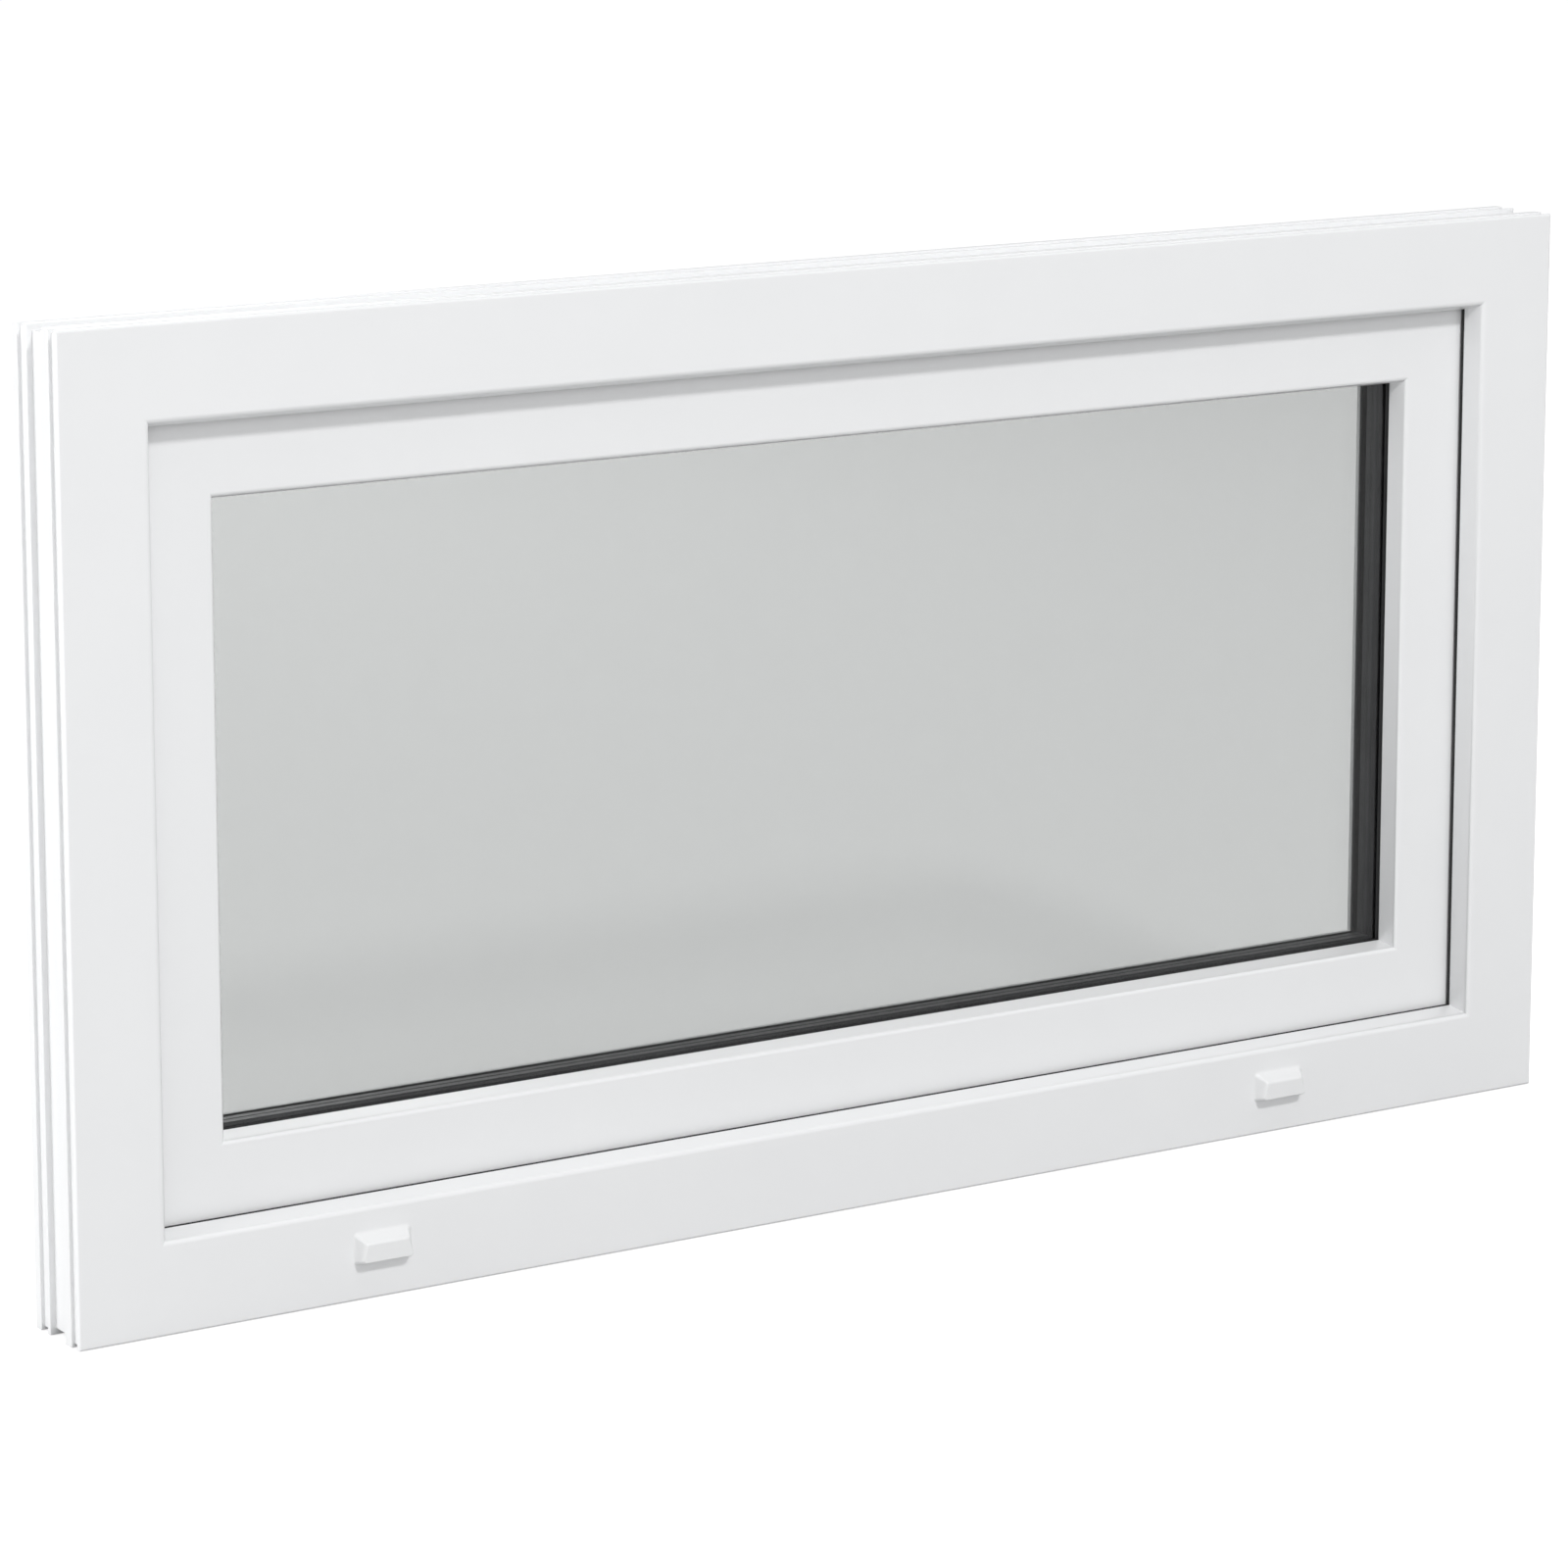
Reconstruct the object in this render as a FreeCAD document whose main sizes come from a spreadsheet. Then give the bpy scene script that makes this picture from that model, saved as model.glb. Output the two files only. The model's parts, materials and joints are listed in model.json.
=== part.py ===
"""Inward-opening casement window: mitred plastic frame and sash, double glazing and turn-and-tilt hardware.

Frame of the model: +X to the right seen from outside, +Y towards the room, +Z up. The origin is the middle of the
sill's underside in the plane of the outside face. A profile's section is given by two numbers: its depth (along Y)
and its inset, the distance from the frame's outer edge towards the middle of the window.

The window is drawn with its hinges at -X and its handle at +X. Every finished part is then mirrored about X = 0, so
the hinges end up on the right seen from outside and the handle on the left.
"""
import FreeCAD, Part
import os
import re
import Sketcher

VECTOR = FreeCAD.Vector

# Driving dimensions in millimetres and degrees: alias, value. Names ending in _in are insets from the outer edge.
DIMENSIONS = [
    ("width", 1100.0), ("height", 600.0), ("frame_depth", 58.0),
    # the triangles that cut the mitres reach past the section on both sides
    ("mitre_margin", 20.0), ("mitre_reach", 150.0),
    # ribs and grooves on the frame's outside edge: depths at which each starts or ends
    ("rib_one", 3.3), ("rib_two_start", 10.2), ("rib_two_end", 18.1), ("groove_step", 24.5),
    ("rib_three_start", 38.5), ("rib_three_end", 42.3), ("rib_four", 50.7), ("groove_shallow", 2.4),
    ("groove_deep", 4.0),
    # frame section
    ("lip_front_in", 57.4), ("lip_back_in", 61.75), ("lip_depth", 14.9), ("rebate_in", 42.0),
    ("front_chamber_low", 3.0), ("front_chamber_high", 12.0), ("front_chamber_end_in", 52.0),
    ("chamber_start_in", 9.0), ("chamber_end_in", 39.0), ("frame_steel_low", 15.0), ("frame_steel_high", 40.0),
    ("back_chamber_low", 43.0), ("back_chamber_high", 55.0), ("steel_gap", 0.5), ("steel_wall", 1.5),
    # sash section
    ("sash_front", 18.5), ("sash_side_in", 54.0), ("sash_overlap_in", 34.0), ("overlap_face", 61.5),
    ("sash_back", 76.5), ("glazing_front_in", 106.5), ("glazing_edge_in", 109.7), ("glazing_lip", 32.8),
    ("glazing_floor_in", 92.0), ("hardware_axis", 47.0), ("plate_half", 9.0), ("plate_in", 57.0),
    ("channel_half", 6.0), ("channel_in", 66.0), ("bead_groove_in", 88.5), ("bead_groove_low", 67.0),
    ("bead_groove_high", 70.0), ("sash_wall", 3.0), ("sash_chamber_in", 69.0), ("sash_chamber_end_in", 87.0),
    ("sash_steel_low", 38.0), ("sash_steel_high", 73.5), ("sash_front_chamber_end", 34.5),
    ("sash_lip_chamber_in", 95.0), ("sash_lip_chamber_end_in", 103.5), ("sash_lip_chamber_end", 29.5),
    # glazing
    ("glass_front", 35.8), ("glass_thickness", 4.0), ("glass_gap", 16.0), ("glass_in", 97.0),
    ("spacer_in", 104.5), ("spacer_sight_in", 111.3), ("spacer_wall", 1.0), ("bead_front", 62.8),
    ("bead_flat_in", 95.0), ("bead_edge", 66.0), ("glazing_gasket_in", 101.0), ("glazing_gasket_lip_in", 110.6),
    ("glazing_gasket_heel_in", 109.0), ("setting_block_length", 100.0), ("setting_block_place", 250.0),
    # seals between frame and sash
    ("seal_gap", 0.3), ("frame_seal_in", 54.5), ("frame_seal_end_in", 61.6), ("sash_seal_in", 36.0),
    ("sash_seal_end_in", 41.0),
    # drainage caps and slots
    ("cap_hinge_side_x", -331.0), ("cap_lock_side_x", 348.0), ("cap_half", 20.0), ("cap_low", 22.0),
    ("cap_high", 43.0), ("cap_rise", 8.0), ("cap_flat_half_top", 13.5), ("cap_flat_half_low", 17.0),
    ("cap_flat_low", 25.2), ("cap_flat_high", 35.6), ("cap_hollow_half", 14.0), ("cap_hollow_high", 33.5),
    ("cap_hollow_rise", 5.0), ("drain_half", 14.0), ("drain_low", 26.0), ("drain_high", 31.0),
    # hinge side: vertical turn axis and horizontal tilt axis
    ("turn_in", 26.0), ("axis_depth", 70.0), ("tilt_height", 26.0), ("barrel_radius", 6.5),
    ("hinge_pin_radius", 3.0), ("hinge_bore_radius", 3.05), ("gap_front", 58.5), ("gap_back", 61.0),
    ("bracket_far_in", 5.0), ("bracket_near_in", 18.5), ("bracket_low", 3.0), ("cup_top", 13.7),
    ("bracket_foot_top", 17.0), ("bracket_foot_in", 50.0), ("bracket_top", 62.0), ("knuckle_low", 14.0),
    ("knuckle_top", 38.0), ("band_start_in", 36.0), ("band_end_in", 62.0), ("band_foot_start_in", 56.0),
    ("band_foot_end_in", 112.0), ("band_foot_depth", 41.0), ("band_thickness", 2.5), ("tilt_pin_end_in", 63.0),
    ("band_top", 32.5), ("bracket_screw_in", 11.5), ("band_screw_one_in", 75.0), ("band_screw_two_in", 100.0),
    # stay at the head
    ("arm_low", 551.0), ("arm_high", 553.5), ("arm_half_width", 6.0), ("arm_barrel_low", 526.0),
    ("arm_barrel_high", 550.0), ("crank_end_in", 43.5), ("crank_front", 50.0), ("crank_back_in", 60.0),
    ("arm_back_in", 72.0), ("arm_tail", 10.0), ("slot_half", 3.8), ("slot_travel", 3.2),
    ("stay_pin_radius", 3.0), ("stay_pin_top", 557.3), ("stay_plate", 2.0), ("stay_plate_half", 20.0),
    ("stay_bracket_low", 505.0), ("stay_bracket_high", 576.0), ("stay_lower_top", 525.0),
    ("stay_upper_low", 554.5), ("stay_plate_low", 494.0), ("stay_plate_high", 588.0), ("stay_pin_reach", 1.5),
    ("stay_screw_spread", 14.0),
    # lock and handle
    ("handle_height", 300.0), ("spindle_in", 69.0), ("spindle_half", 3.5), ("spindle_hole", 6.0),
    ("screw_spread", 21.5), ("screw_radius", 2.5), ("gearbox_half_height", 27.0), ("gearbox_end_in", 84.0),
    ("gearbox_start_in", 60.2), ("gearbox_wall", 1.2), ("pinion_room", 15.0), ("pinion_half", 3.0),
    ("pinion_hub", 8.5), ("pinion_root", 8.0), ("pinion_tip", 11.3), ("tooth_root_half", 1.35),
    ("tooth_tip_half", 0.7), ("pinion_teeth", 12), ("hole_pitch", 5.55), ("hole_half_height", 1.75),
    ("hole_half_width", 3.5), ("rod_low_in", 57.2), ("rod_high_in", 59.7), ("rod_half_width", 5.0),
    ("cam_head_in", 46.5), ("cam_head_end_in", 49.5), ("cam_radius", 4.0), ("cam_post_radius", 2.3),
    ("rod_travel", 33.3), ("cam_low_height", 150.0), ("cam_high_height", 420.0), ("stile_rod_low", 128.0),
    ("stile_rod_high", 470.0), ("plate_low", 70.0), ("plate_high", 532.0), ("slot_play", 0.6),
    ("plate_screw_end", 20.0), ("top_cam_x", 250.0), ("top_rod_start", 205.0), ("top_rod_end", 470.0),
    ("top_plate_start", 120.0), ("top_plate_end", 482.0), ("keep_half", 12.0), ("keep_base", 2.5),
    ("keep_half_width", 8.5), ("keep_wall_start", 51.6), ("keep_wall_end", 54.6), ("keep_wall_in", 50.0),
    ("rosette_half_width", 15.0), ("rosette_half_height", 34.0), ("rosette_depth", 10.0), ("rosette_base", 4.0),
    ("grip_gap", 0.3), ("neck_radius", 9.5), ("grip_front", 118.0), ("grip_back", 131.0),
    ("grip_half_width", 10.5), ("grip_tip", 112.0), ("grip_heel", 13.0), ("grip_round", 4.0),
    ("cover_back", 64.5), ("cover_wall", 1.0), ("screw_head_radius", 4.2), ("screw_head_height", 2.0),
    ("screw_length", 24.0), ("small_screw_radius", 1.9), ("small_screw_length", 18.0), ("runup_x", 450.0),
    ("runup_half", 20.0), ("runup_top", 53.6),
]
VALUES = dict(DIMENSIONS)

document = FreeCAD.newDocument("CasementWindow")
sheet = document.addObject("Spreadsheet::Sheet", "Spec")
nodes = []


def fill_sheet():
    """Put every driving dimension into the spreadsheet, with its alias."""
    for row, (alias, value) in enumerate(DIMENSIONS, start=1):
        sheet.set("A%d" % row, alias)
        sheet.set("B%d" % row, str(value))
        sheet.setAlias("B%d" % row, alias)
    document.recompute()


def bound(expression):
    """Return an expression of bare aliases with the sheet's name put before each alias."""
    return re.sub(r"[a-z]\w*", lambda word: "Spec." + word.group(0), expression)


def number(expression):
    """Return the value of a sum of aliases and plain numbers, each perhaps divided by a number."""
    total = 0.0
    sign = 1.0
    divide = False
    last = 0.0
    for word in expression.split():
        if word in ("+", "-"):
            sign = 1.0 if word == "+" else -1.0
        elif word == "/":
            divide = True
        elif divide:
            total += last / float(word) - last
            divide = False
        else:
            last = sign * (VALUES[word] if word in VALUES else float(word))
            total += last
    return total


def keep_node(thing, label):
    """Give a finished sub-part its label and list it for export."""
    thing.Label = label
    nodes.append(thing)
    return thing


def new_body(label, kept=True):
    """Start a PartDesign body."""
    body = document.addObject("PartDesign::Body", "Body_" + label)
    if kept:
        keep_node(body, label)
    return body


def origin_plane(body, role):
    """Find one of a body's own origin planes."""
    return [feature for feature in body.Origin.OriginFeatures if feature.Role == role][0]


def pin_vertex(sketch, edge, point):
    """Fix the start of a sketch edge at two bound distances from the sketch's origin."""
    axes = (("DistanceX", -2), ("DistanceY", -1))
    for expression, (kind, axis) in zip(point, axes):
        value = number(expression)
        if value == 0.0:
            sketch.addConstraint(Sketcher.Constraint("PointOnObject", edge, 1, axis))
        else:
            index = sketch.addConstraint(Sketcher.Constraint(kind, -1, 1, edge, 1, value))
            sketch.setExpression("Constraints[%d]" % index, bound(expression))


def polygon_sketch(body, name, role, loops):
    """Draw closed polygons on an origin plane, every corner bound to the sheet."""
    sketch = body.newObject("Sketcher::SketchObject", name)
    sketch.AttachmentSupport = (origin_plane(body, role), [""])
    sketch.MapMode = "FlatFace"
    for loop in loops:
        first = sketch.GeometryCount
        corners = [VECTOR(number(across), number(up), 0) for across, up in loop]
        for index, corner in enumerate(corners):
            sketch.addGeometry(Part.LineSegment(corner, corners[(index + 1) % len(corners)]))
        for index, point in enumerate(loop):
            following = first + (index + 1) % len(loop)
            sketch.addConstraint(Sketcher.Constraint("Coincident", first + index, 2, following, 1))
            pin_vertex(sketch, first + index, point)
    return sketch


def pad(body, sketch, length, reverse=False):
    """Extrude a sketch by a bound length."""
    feature = body.newObject("PartDesign::Pad", "Pad_" + sketch.Name)
    feature.Profile = sketch
    feature.setExpression("Length", bound(length))
    feature.Reversed = reverse
    sketch.Visibility = False
    return feature


def through_cut(body, sketch):
    """Cut a sketch through the whole body, both ways."""
    feature = body.newObject("PartDesign::Pocket", "Cut_" + sketch.Name)
    feature.Profile = sketch
    feature.Type = "ThroughAll"
    feature.Midplane = True
    sketch.Visibility = False
    return feature


def place(feature, low):
    """Bind the position of a feature or body to three expressions."""
    for letter, expression in zip("xyz", low):
        feature.setExpression("Placement.Base." + letter, bound(expression))


def block(body, low, high, cut=False):
    """Add or cut a box between two corners."""
    kind = "Subtractive" if cut else "Additive"
    feature = body.newObject("PartDesign::%sBox" % kind, "Block")
    for size, start, end in zip(("Length", "Width", "Height"), low, high):
        feature.setExpression(size, bound("%s - (%s)" % (end, start)))
    place(feature, low)
    return feature


def rod(body, start, radius, length, axis, cut=False):
    """Add or cut a cylinder from a start point along an axis."""
    kind = "Subtractive" if cut else "Additive"
    feature = body.newObject("PartDesign::%sCylinder" % kind, "Rod")
    feature.setExpression("Radius", bound(radius))
    feature.setExpression("Height", bound(length))
    feature.Placement = FreeCAD.Placement(VECTOR(), FreeCAD.Rotation(VECTOR(0, 0, 1), axis))
    place(feature, start)
    return feature


ALONG_X = VECTOR(1, 0, 0)
ALONG_Y = VECTOR(0, 1, 0)
OUTWARD = VECTOR(0, -1, 0)
ALONG_Z = VECTOR(0, 0, 1)

# The four sides of the window: corner where a bar starts, its turn about Y and the alias of its length.
SIDES = {
    "sill": (("0 - width / 2", "0", "0"), 0, "width"),
    "lock_jamb": (("width / 2", "0", "0"), -90, "height"),
    "head": (("width / 2", "0", "height"), 180, "width"),
    "hinge_jamb": (("0 - width / 2", "0", "height"), 90, "height"),
}


def stand_on_side(body, side):
    """Turn a bar that was made along the sill so that it lies along another side."""
    corner, angle, _ = SIDES[side]
    body.Placement = FreeCAD.Placement(VECTOR(), FreeCAD.Rotation(ALONG_Y, angle))
    place(body, corner)


def mitred_bar(label, side, loops, kept=True):
    """Make one bar of a ring: a section of (depth, inset) loops, cut at 45 degrees at both ends."""
    length = SIDES[side][2]
    body = new_body(label, kept)
    sketch = polygon_sketch(body, "Section_" + label, "YZ_Plane", loops)
    pad(body, sketch, length)
    start = [("0 - mitre_margin", "0 - mitre_margin"), ("mitre_reach", "mitre_reach"),
             ("0 - mitre_margin", "mitre_reach")]
    end = [(length + " + mitre_margin", "0 - mitre_margin"), (length + " + mitre_margin", "mitre_reach"),
           (length + " - mitre_reach", "mitre_reach")]
    mitres = polygon_sketch(body, "Mitres_" + label, "XZ_Plane", [start, end])
    through_cut(body, mitres)
    stand_on_side(body, side)
    return body


def ring(label, loops):
    """Make a closed ring of four mitred bars joined at the corners."""
    parts = [mitred_bar(label + "_" + side, side, loops, kept=False) for side in SIDES]
    joined = document.addObject("Part::MultiFuse", "Ring_" + label)
    joined.Shapes = parts
    joined.Refine = True
    return joined


def cut_blocks(thing, boxes):
    """Cut plain boxes out of a Part object."""
    for low, high in boxes:
        box = document.addObject("Part::Box", "Notch")
        for size, start, end in zip(("Length", "Width", "Height"), low, high):
            box.setExpression(size, bound("%s - (%s)" % (end, start)))
        place(box, low)
        cut = document.addObject("Part::Cut", "Notched")
        cut.Base = thing
        cut.Tool = box
        thing = cut
    return thing


def group(label, things):
    """Keep identical separate pieces as one node."""
    compound = document.addObject("Part::Compound", "Group_" + label)
    compound.Links = things
    return keep_node(compound, label)


def rectangle(low_depth, low_in, high_depth, high_in):
    """Return a rectangular section loop."""
    return [(low_depth, low_in), (high_depth, low_in), (high_depth, high_in), (low_depth, high_in)]


def frame_loops():
    """Section of the frame: ribbed outside edge, front lip, rebate, and three chambers."""
    outline = [
        ("0", "0"), ("rib_one", "0"), ("rib_one", "groove_shallow"), ("rib_two_start", "groove_shallow"),
        ("rib_two_start", "0"), ("rib_two_end", "0"), ("rib_two_end", "groove_shallow"),
        ("groove_step", "groove_shallow"), ("groove_step", "groove_deep"), ("rib_three_start", "groove_deep"),
        ("rib_three_start", "0"), ("rib_three_end", "0"), ("rib_three_end", "groove_shallow"),
        ("rib_four", "groove_shallow"), ("rib_four", "0"), ("frame_depth", "0"), ("frame_depth", "rebate_in"),
        ("lip_depth", "rebate_in"), ("lip_depth", "lip_back_in"), ("0", "lip_front_in"),
    ]
    chambers = [
        rectangle("front_chamber_low", "groove_deep + 1", "front_chamber_high", "front_chamber_end_in"),
        rectangle("frame_steel_low", "chamber_start_in", "frame_steel_high", "chamber_end_in"),
        rectangle("back_chamber_low", "chamber_start_in", "back_chamber_high", "chamber_end_in"),
    ]
    return [outline] + chambers


def sash_loops():
    """Section of the sash: sloped glazing lip, glazing rebate, overlap, hardware groove and chambers."""
    outline = [
        ("sash_front", "sash_side_in"), ("sash_front", "glazing_front_in"), ("glazing_lip", "glazing_edge_in"),
        ("glazing_lip", "glazing_floor_in"), ("bead_groove_low", "glazing_floor_in"),
        ("bead_groove_low", "bead_groove_in"), ("bead_groove_high", "bead_groove_in"),
        ("bead_groove_high", "glazing_floor_in"), ("sash_back", "glazing_floor_in"),
        ("sash_back", "sash_overlap_in"), ("overlap_face", "sash_overlap_in"), ("overlap_face", "sash_side_in"),
        ("hardware_axis + plate_half", "sash_side_in"), ("hardware_axis + plate_half", "plate_in"),
        ("hardware_axis + channel_half", "plate_in"), ("hardware_axis + channel_half", "channel_in"),
        ("hardware_axis - channel_half", "channel_in"), ("hardware_axis - channel_half", "plate_in"),
        ("hardware_axis - plate_half", "plate_in"), ("hardware_axis - plate_half", "sash_side_in"),
    ]
    chambers = [
        rectangle("sash_front + sash_wall", "plate_in", "sash_front_chamber_end", "sash_chamber_end_in"),
        rectangle("sash_front + sash_wall", "sash_lip_chamber_in", "sash_lip_chamber_end",
                  "sash_lip_chamber_end_in"),
        rectangle("sash_steel_low", "sash_chamber_in", "sash_steel_high", "sash_chamber_end_in"),
        rectangle("overlap_face + sash_wall", "sash_overlap_in + sash_wall", "sash_steel_high", "channel_in"),
    ]
    return [outline] + chambers


def frame_steel_loops():
    """Channel section of the frame's reinforcement, open towards the outside edge."""
    return [[
        ("frame_steel_low + steel_gap", "chamber_start_in + steel_gap"),
        ("frame_steel_low + steel_gap + steel_wall", "chamber_start_in + steel_gap"),
        ("frame_steel_low + steel_gap + steel_wall", "chamber_end_in - steel_gap - steel_wall"),
        ("frame_steel_high - steel_gap - steel_wall", "chamber_end_in - steel_gap - steel_wall"),
        ("frame_steel_high - steel_gap - steel_wall", "chamber_start_in + steel_gap"),
        ("frame_steel_high - steel_gap", "chamber_start_in + steel_gap"),
        ("frame_steel_high - steel_gap", "chamber_end_in - steel_gap"),
        ("frame_steel_low + steel_gap", "chamber_end_in - steel_gap"),
    ]]


def sash_steel_loops():
    """Channel section of the sash's reinforcement, open towards the hardware groove."""
    return [[
        ("sash_steel_low + steel_gap", "sash_chamber_in + steel_gap"),
        ("sash_steel_low + steel_gap + steel_wall", "sash_chamber_in + steel_gap"),
        ("sash_steel_low + steel_gap + steel_wall", "sash_chamber_end_in - steel_gap - steel_wall"),
        ("sash_steel_high - steel_gap - steel_wall", "sash_chamber_end_in - steel_gap - steel_wall"),
        ("sash_steel_high - steel_gap - steel_wall", "sash_chamber_in + steel_gap"),
        ("sash_steel_high - steel_gap", "sash_chamber_in + steel_gap"),
        ("sash_steel_high - steel_gap", "sash_chamber_end_in - steel_gap"),
        ("sash_steel_low + steel_gap", "sash_chamber_end_in - steel_gap"),
    ]]


def bead_loops():
    """Section of a glazing bead, with the foot that clips into the sash."""
    return [[
        ("bead_front", "glazing_floor_in"), ("bead_front", "glazing_edge_in"), ("bead_edge", "glazing_edge_in"),
        ("sash_back", "bead_flat_in"), ("sash_back", "glazing_floor_in"), ("bead_groove_high", "glazing_floor_in"),
        ("bead_groove_high", "bead_groove_in"), ("bead_groove_low", "bead_groove_in"),
        ("bead_groove_low", "glazing_floor_in"),
    ]]


def make_frame():
    """The four frame bars; the sill has a drainage slot behind each cap."""
    for side in SIDES:
        body = mitred_bar("frame_" + side, side, frame_loops())
        if side == "sill":
            for centre in ("cap_hinge_side_x", "cap_lock_side_x"):
                along = "width / 2 + " + centre
                block(body, (along + " - drain_half", "0 - 1", "drain_low"),
                      (along + " + drain_half", "front_chamber_low + 1", "drain_high"), cut=True)


def make_steels():
    """Channels of galvanised steel inside frame and sash, one node for each opposite pair."""
    for part, loops in (("frame", frame_steel_loops()), ("sash", sash_steel_loops())):
        for name, pair in (("rail", ("sill", "head")), ("upright", ("hinge_jamb", "lock_jamb"))):
            bars = [mitred_bar("%s_steel_%s" % (part, side), side, loops, kept=False) for side in pair]
            if part == "sash" and name == "upright":
                drill_handle_holes(bars[1])
            group("%s_%s_steels" % (part, name), bars)


def drill_handle_holes(body):
    """Drill the spindle hole and the two screw holes through the back of a lock-side bar."""
    for offset, radius in (("", "spindle_hole"), (" - screw_spread", "screw_radius + 0.2"),
                           (" + screw_spread", "screw_radius + 0.2")):
        rod(body, ("handle_height" + offset, "hardware_axis", "spindle_in"), radius, "40", ALONG_Y, cut=True)


def make_sash():
    """The four sash bars; the lock stile is routed for the gearbox and drilled for the handle."""
    names = {"sill": "sash_bottom_rail", "head": "sash_top_rail", "hinge_jamb": "sash_hinge_stile",
             "lock_jamb": "sash_lock_stile"}
    for side, label in names.items():
        body = mitred_bar(label, side, sash_loops())
        if side == "lock_jamb":
            block(body, ("handle_height - gearbox_half_height - 1", "hardware_axis - channel_half",
                         "channel_in - 1"),
                  ("handle_height + gearbox_half_height + 1", "hardware_axis + channel_half",
                   "sash_chamber_in + 1"), cut=True)
            drill_handle_holes(body)


def make_seals():
    """Seals between frame and sash; the sash seal is notched where the hinges pass behind the overlap."""
    frame_seal = [[("lip_depth", "frame_seal_in"), ("sash_front - seal_gap", "frame_seal_in + 1"),
                   ("sash_front - seal_gap", "frame_seal_end_in - 1"), ("lip_depth", "frame_seal_end_in")]]
    keep_node(ring("frame_gasket", frame_seal), "frame_gasket")
    sash_seal = [[("frame_depth + seal_gap", "sash_seal_in + 1"), ("overlap_face", "sash_seal_in"),
                  ("overlap_face", "sash_seal_end_in"), ("frame_depth + seal_gap", "sash_seal_end_in - 1")]]
    low_notch = (("0 - width / 2 + band_start_in - 2", "frame_depth", "0"),
                 ("0 - width / 2 + band_end_in + 2", "overlap_face", "tilt_height + 30"))
    high_notch = (("0 - width / 2", "frame_depth", "arm_barrel_low - 2"),
                  ("0 - width / 2 + crank_end_in + 12", "overlap_face", "arm_high + 4"))
    notched = cut_blocks(ring("sash_gasket", sash_seal), [low_notch, high_notch])
    keep_node(notched, "sash_gasket")


def pane(label, front):
    """One sheet of glass."""
    body = new_body(label)
    block(body, ("0 - width / 2 + glass_in", front, "glass_in"),
          ("width / 2 - glass_in", front + " + glass_thickness", "height - glass_in"))


def make_glazing():
    """Double glazing unit, its seals, the beads that hold it and the blocks that it stands on."""
    inner_front = "glass_front + glass_thickness + glass_gap"
    gap_front = "glass_front + glass_thickness"
    pane("glass_pane_outer", "glass_front")
    pane("glass_pane_inner", inner_front)
    spacer = [rectangle(gap_front, "spacer_in", inner_front, "spacer_sight_in"),
              rectangle(gap_front + " + spacer_wall", "spacer_in + spacer_wall", inner_front + " - spacer_wall",
                        "spacer_sight_in - spacer_wall")]
    keep_node(ring("spacer_bar", spacer), "spacer_bar")
    sealant = [rectangle(gap_front, "glass_in", inner_front, "spacer_in")]
    keep_node(ring("edge_sealant", sealant), "edge_sealant")
    for label, front, back in (("outer", "glazing_lip", "glass_front"),
                               ("inner", "bead_front", inner_front + " + glass_thickness")):
        gasket = [[(front, "glazing_gasket_in"), (front, "glazing_gasket_heel_in"), (back, "glazing_gasket_lip_in"),
                   (back, "glazing_gasket_in")]]
        name = "glazing_gasket_" + label
        keep_node(ring(name, gasket), name)
    names = {"sill": "bead_bottom", "head": "bead_top", "hinge_jamb": "bead_hinge_side",
             "lock_jamb": "bead_lock_side"}
    for side, label in names.items():
        mitred_bar("glazing_" + label, side, bead_loops())
    blocks = []
    for place_x in ("0 - setting_block_place", "setting_block_place"):
        body = new_body("setting_block", kept=False)
        block(body, (place_x + " - setting_block_length / 2", "glass_front", "glazing_floor_in"),
              (place_x + " + setting_block_length / 2", inner_front + " + glass_thickness", "glass_in"))
        blocks.append(body)
    group("setting_blocks", blocks)


def rect_sketch(body, name, role, loop, offset):
    """Draw one closed loop on a plane that is shifted along its normal."""
    sketch = polygon_sketch(body, name, role, [loop])
    sketch.setExpression("AttachmentOffset.Base.z", bound(offset))
    return sketch


def make_drain_caps():
    """Drainage hoods: a sloped hood over each slot, hollow behind and open below."""
    for label, centre in (("hinge_side", "cap_hinge_side_x"), ("lock_side", "cap_lock_side_x")):
        body = new_body("drain_cap_" + label)
        foot = [("0 - cap_half", "cap_low"), ("cap_half", "cap_low"), ("cap_half", "cap_high"),
                ("0 - cap_half", "cap_high")]
        flat = [("0 - cap_flat_half_low", "cap_flat_low"), ("cap_flat_half_low", "cap_flat_low"),
                ("cap_flat_half_top", "cap_flat_high"), ("0 - cap_flat_half_top", "cap_flat_high")]
        base = rect_sketch(body, "Foot_" + label, "XZ_Plane", foot, "0")
        top = rect_sketch(body, "Flat_" + label, "XZ_Plane", flat, "cap_rise")
        hood = body.newObject("PartDesign::AdditiveLoft", "Hood_" + label)
        hood.Profile = base
        hood.Sections = [top]
        hood.Ruled = True
        block(body, ("0 - cap_hollow_half", "0 - cap_hollow_rise", "cap_low - 1"),
              ("cap_hollow_half", "1", "cap_hollow_high"), cut=True)
        place(body, (centre, "0", "0"))


def countersunk_screw(start, axis, length, radius):
    """A screw with a flat countersunk head, its head's top at the start point, pointing along the axis."""
    body = new_body("screw", kept=False)
    head = body.newObject("PartDesign::AdditiveCone", "Head")
    head.setExpression("Radius1", bound(radius + " + 1.8"))
    head.setExpression("Radius2", bound(radius))
    head.setExpression("Height", bound("screw_head_height"))
    head.Placement = FreeCAD.Placement(VECTOR(), FreeCAD.Rotation(ALONG_Z, axis))
    place(head, start)
    rod(body, start, radius, length, axis)
    return body


# Starts of expressions for an inset from the hinge-side edge and from the lock-side edge.
HINGE = "0 - width / 2 + "
LOCK = "width / 2 - "
TURN_X = HINGE + "turn_in"


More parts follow.
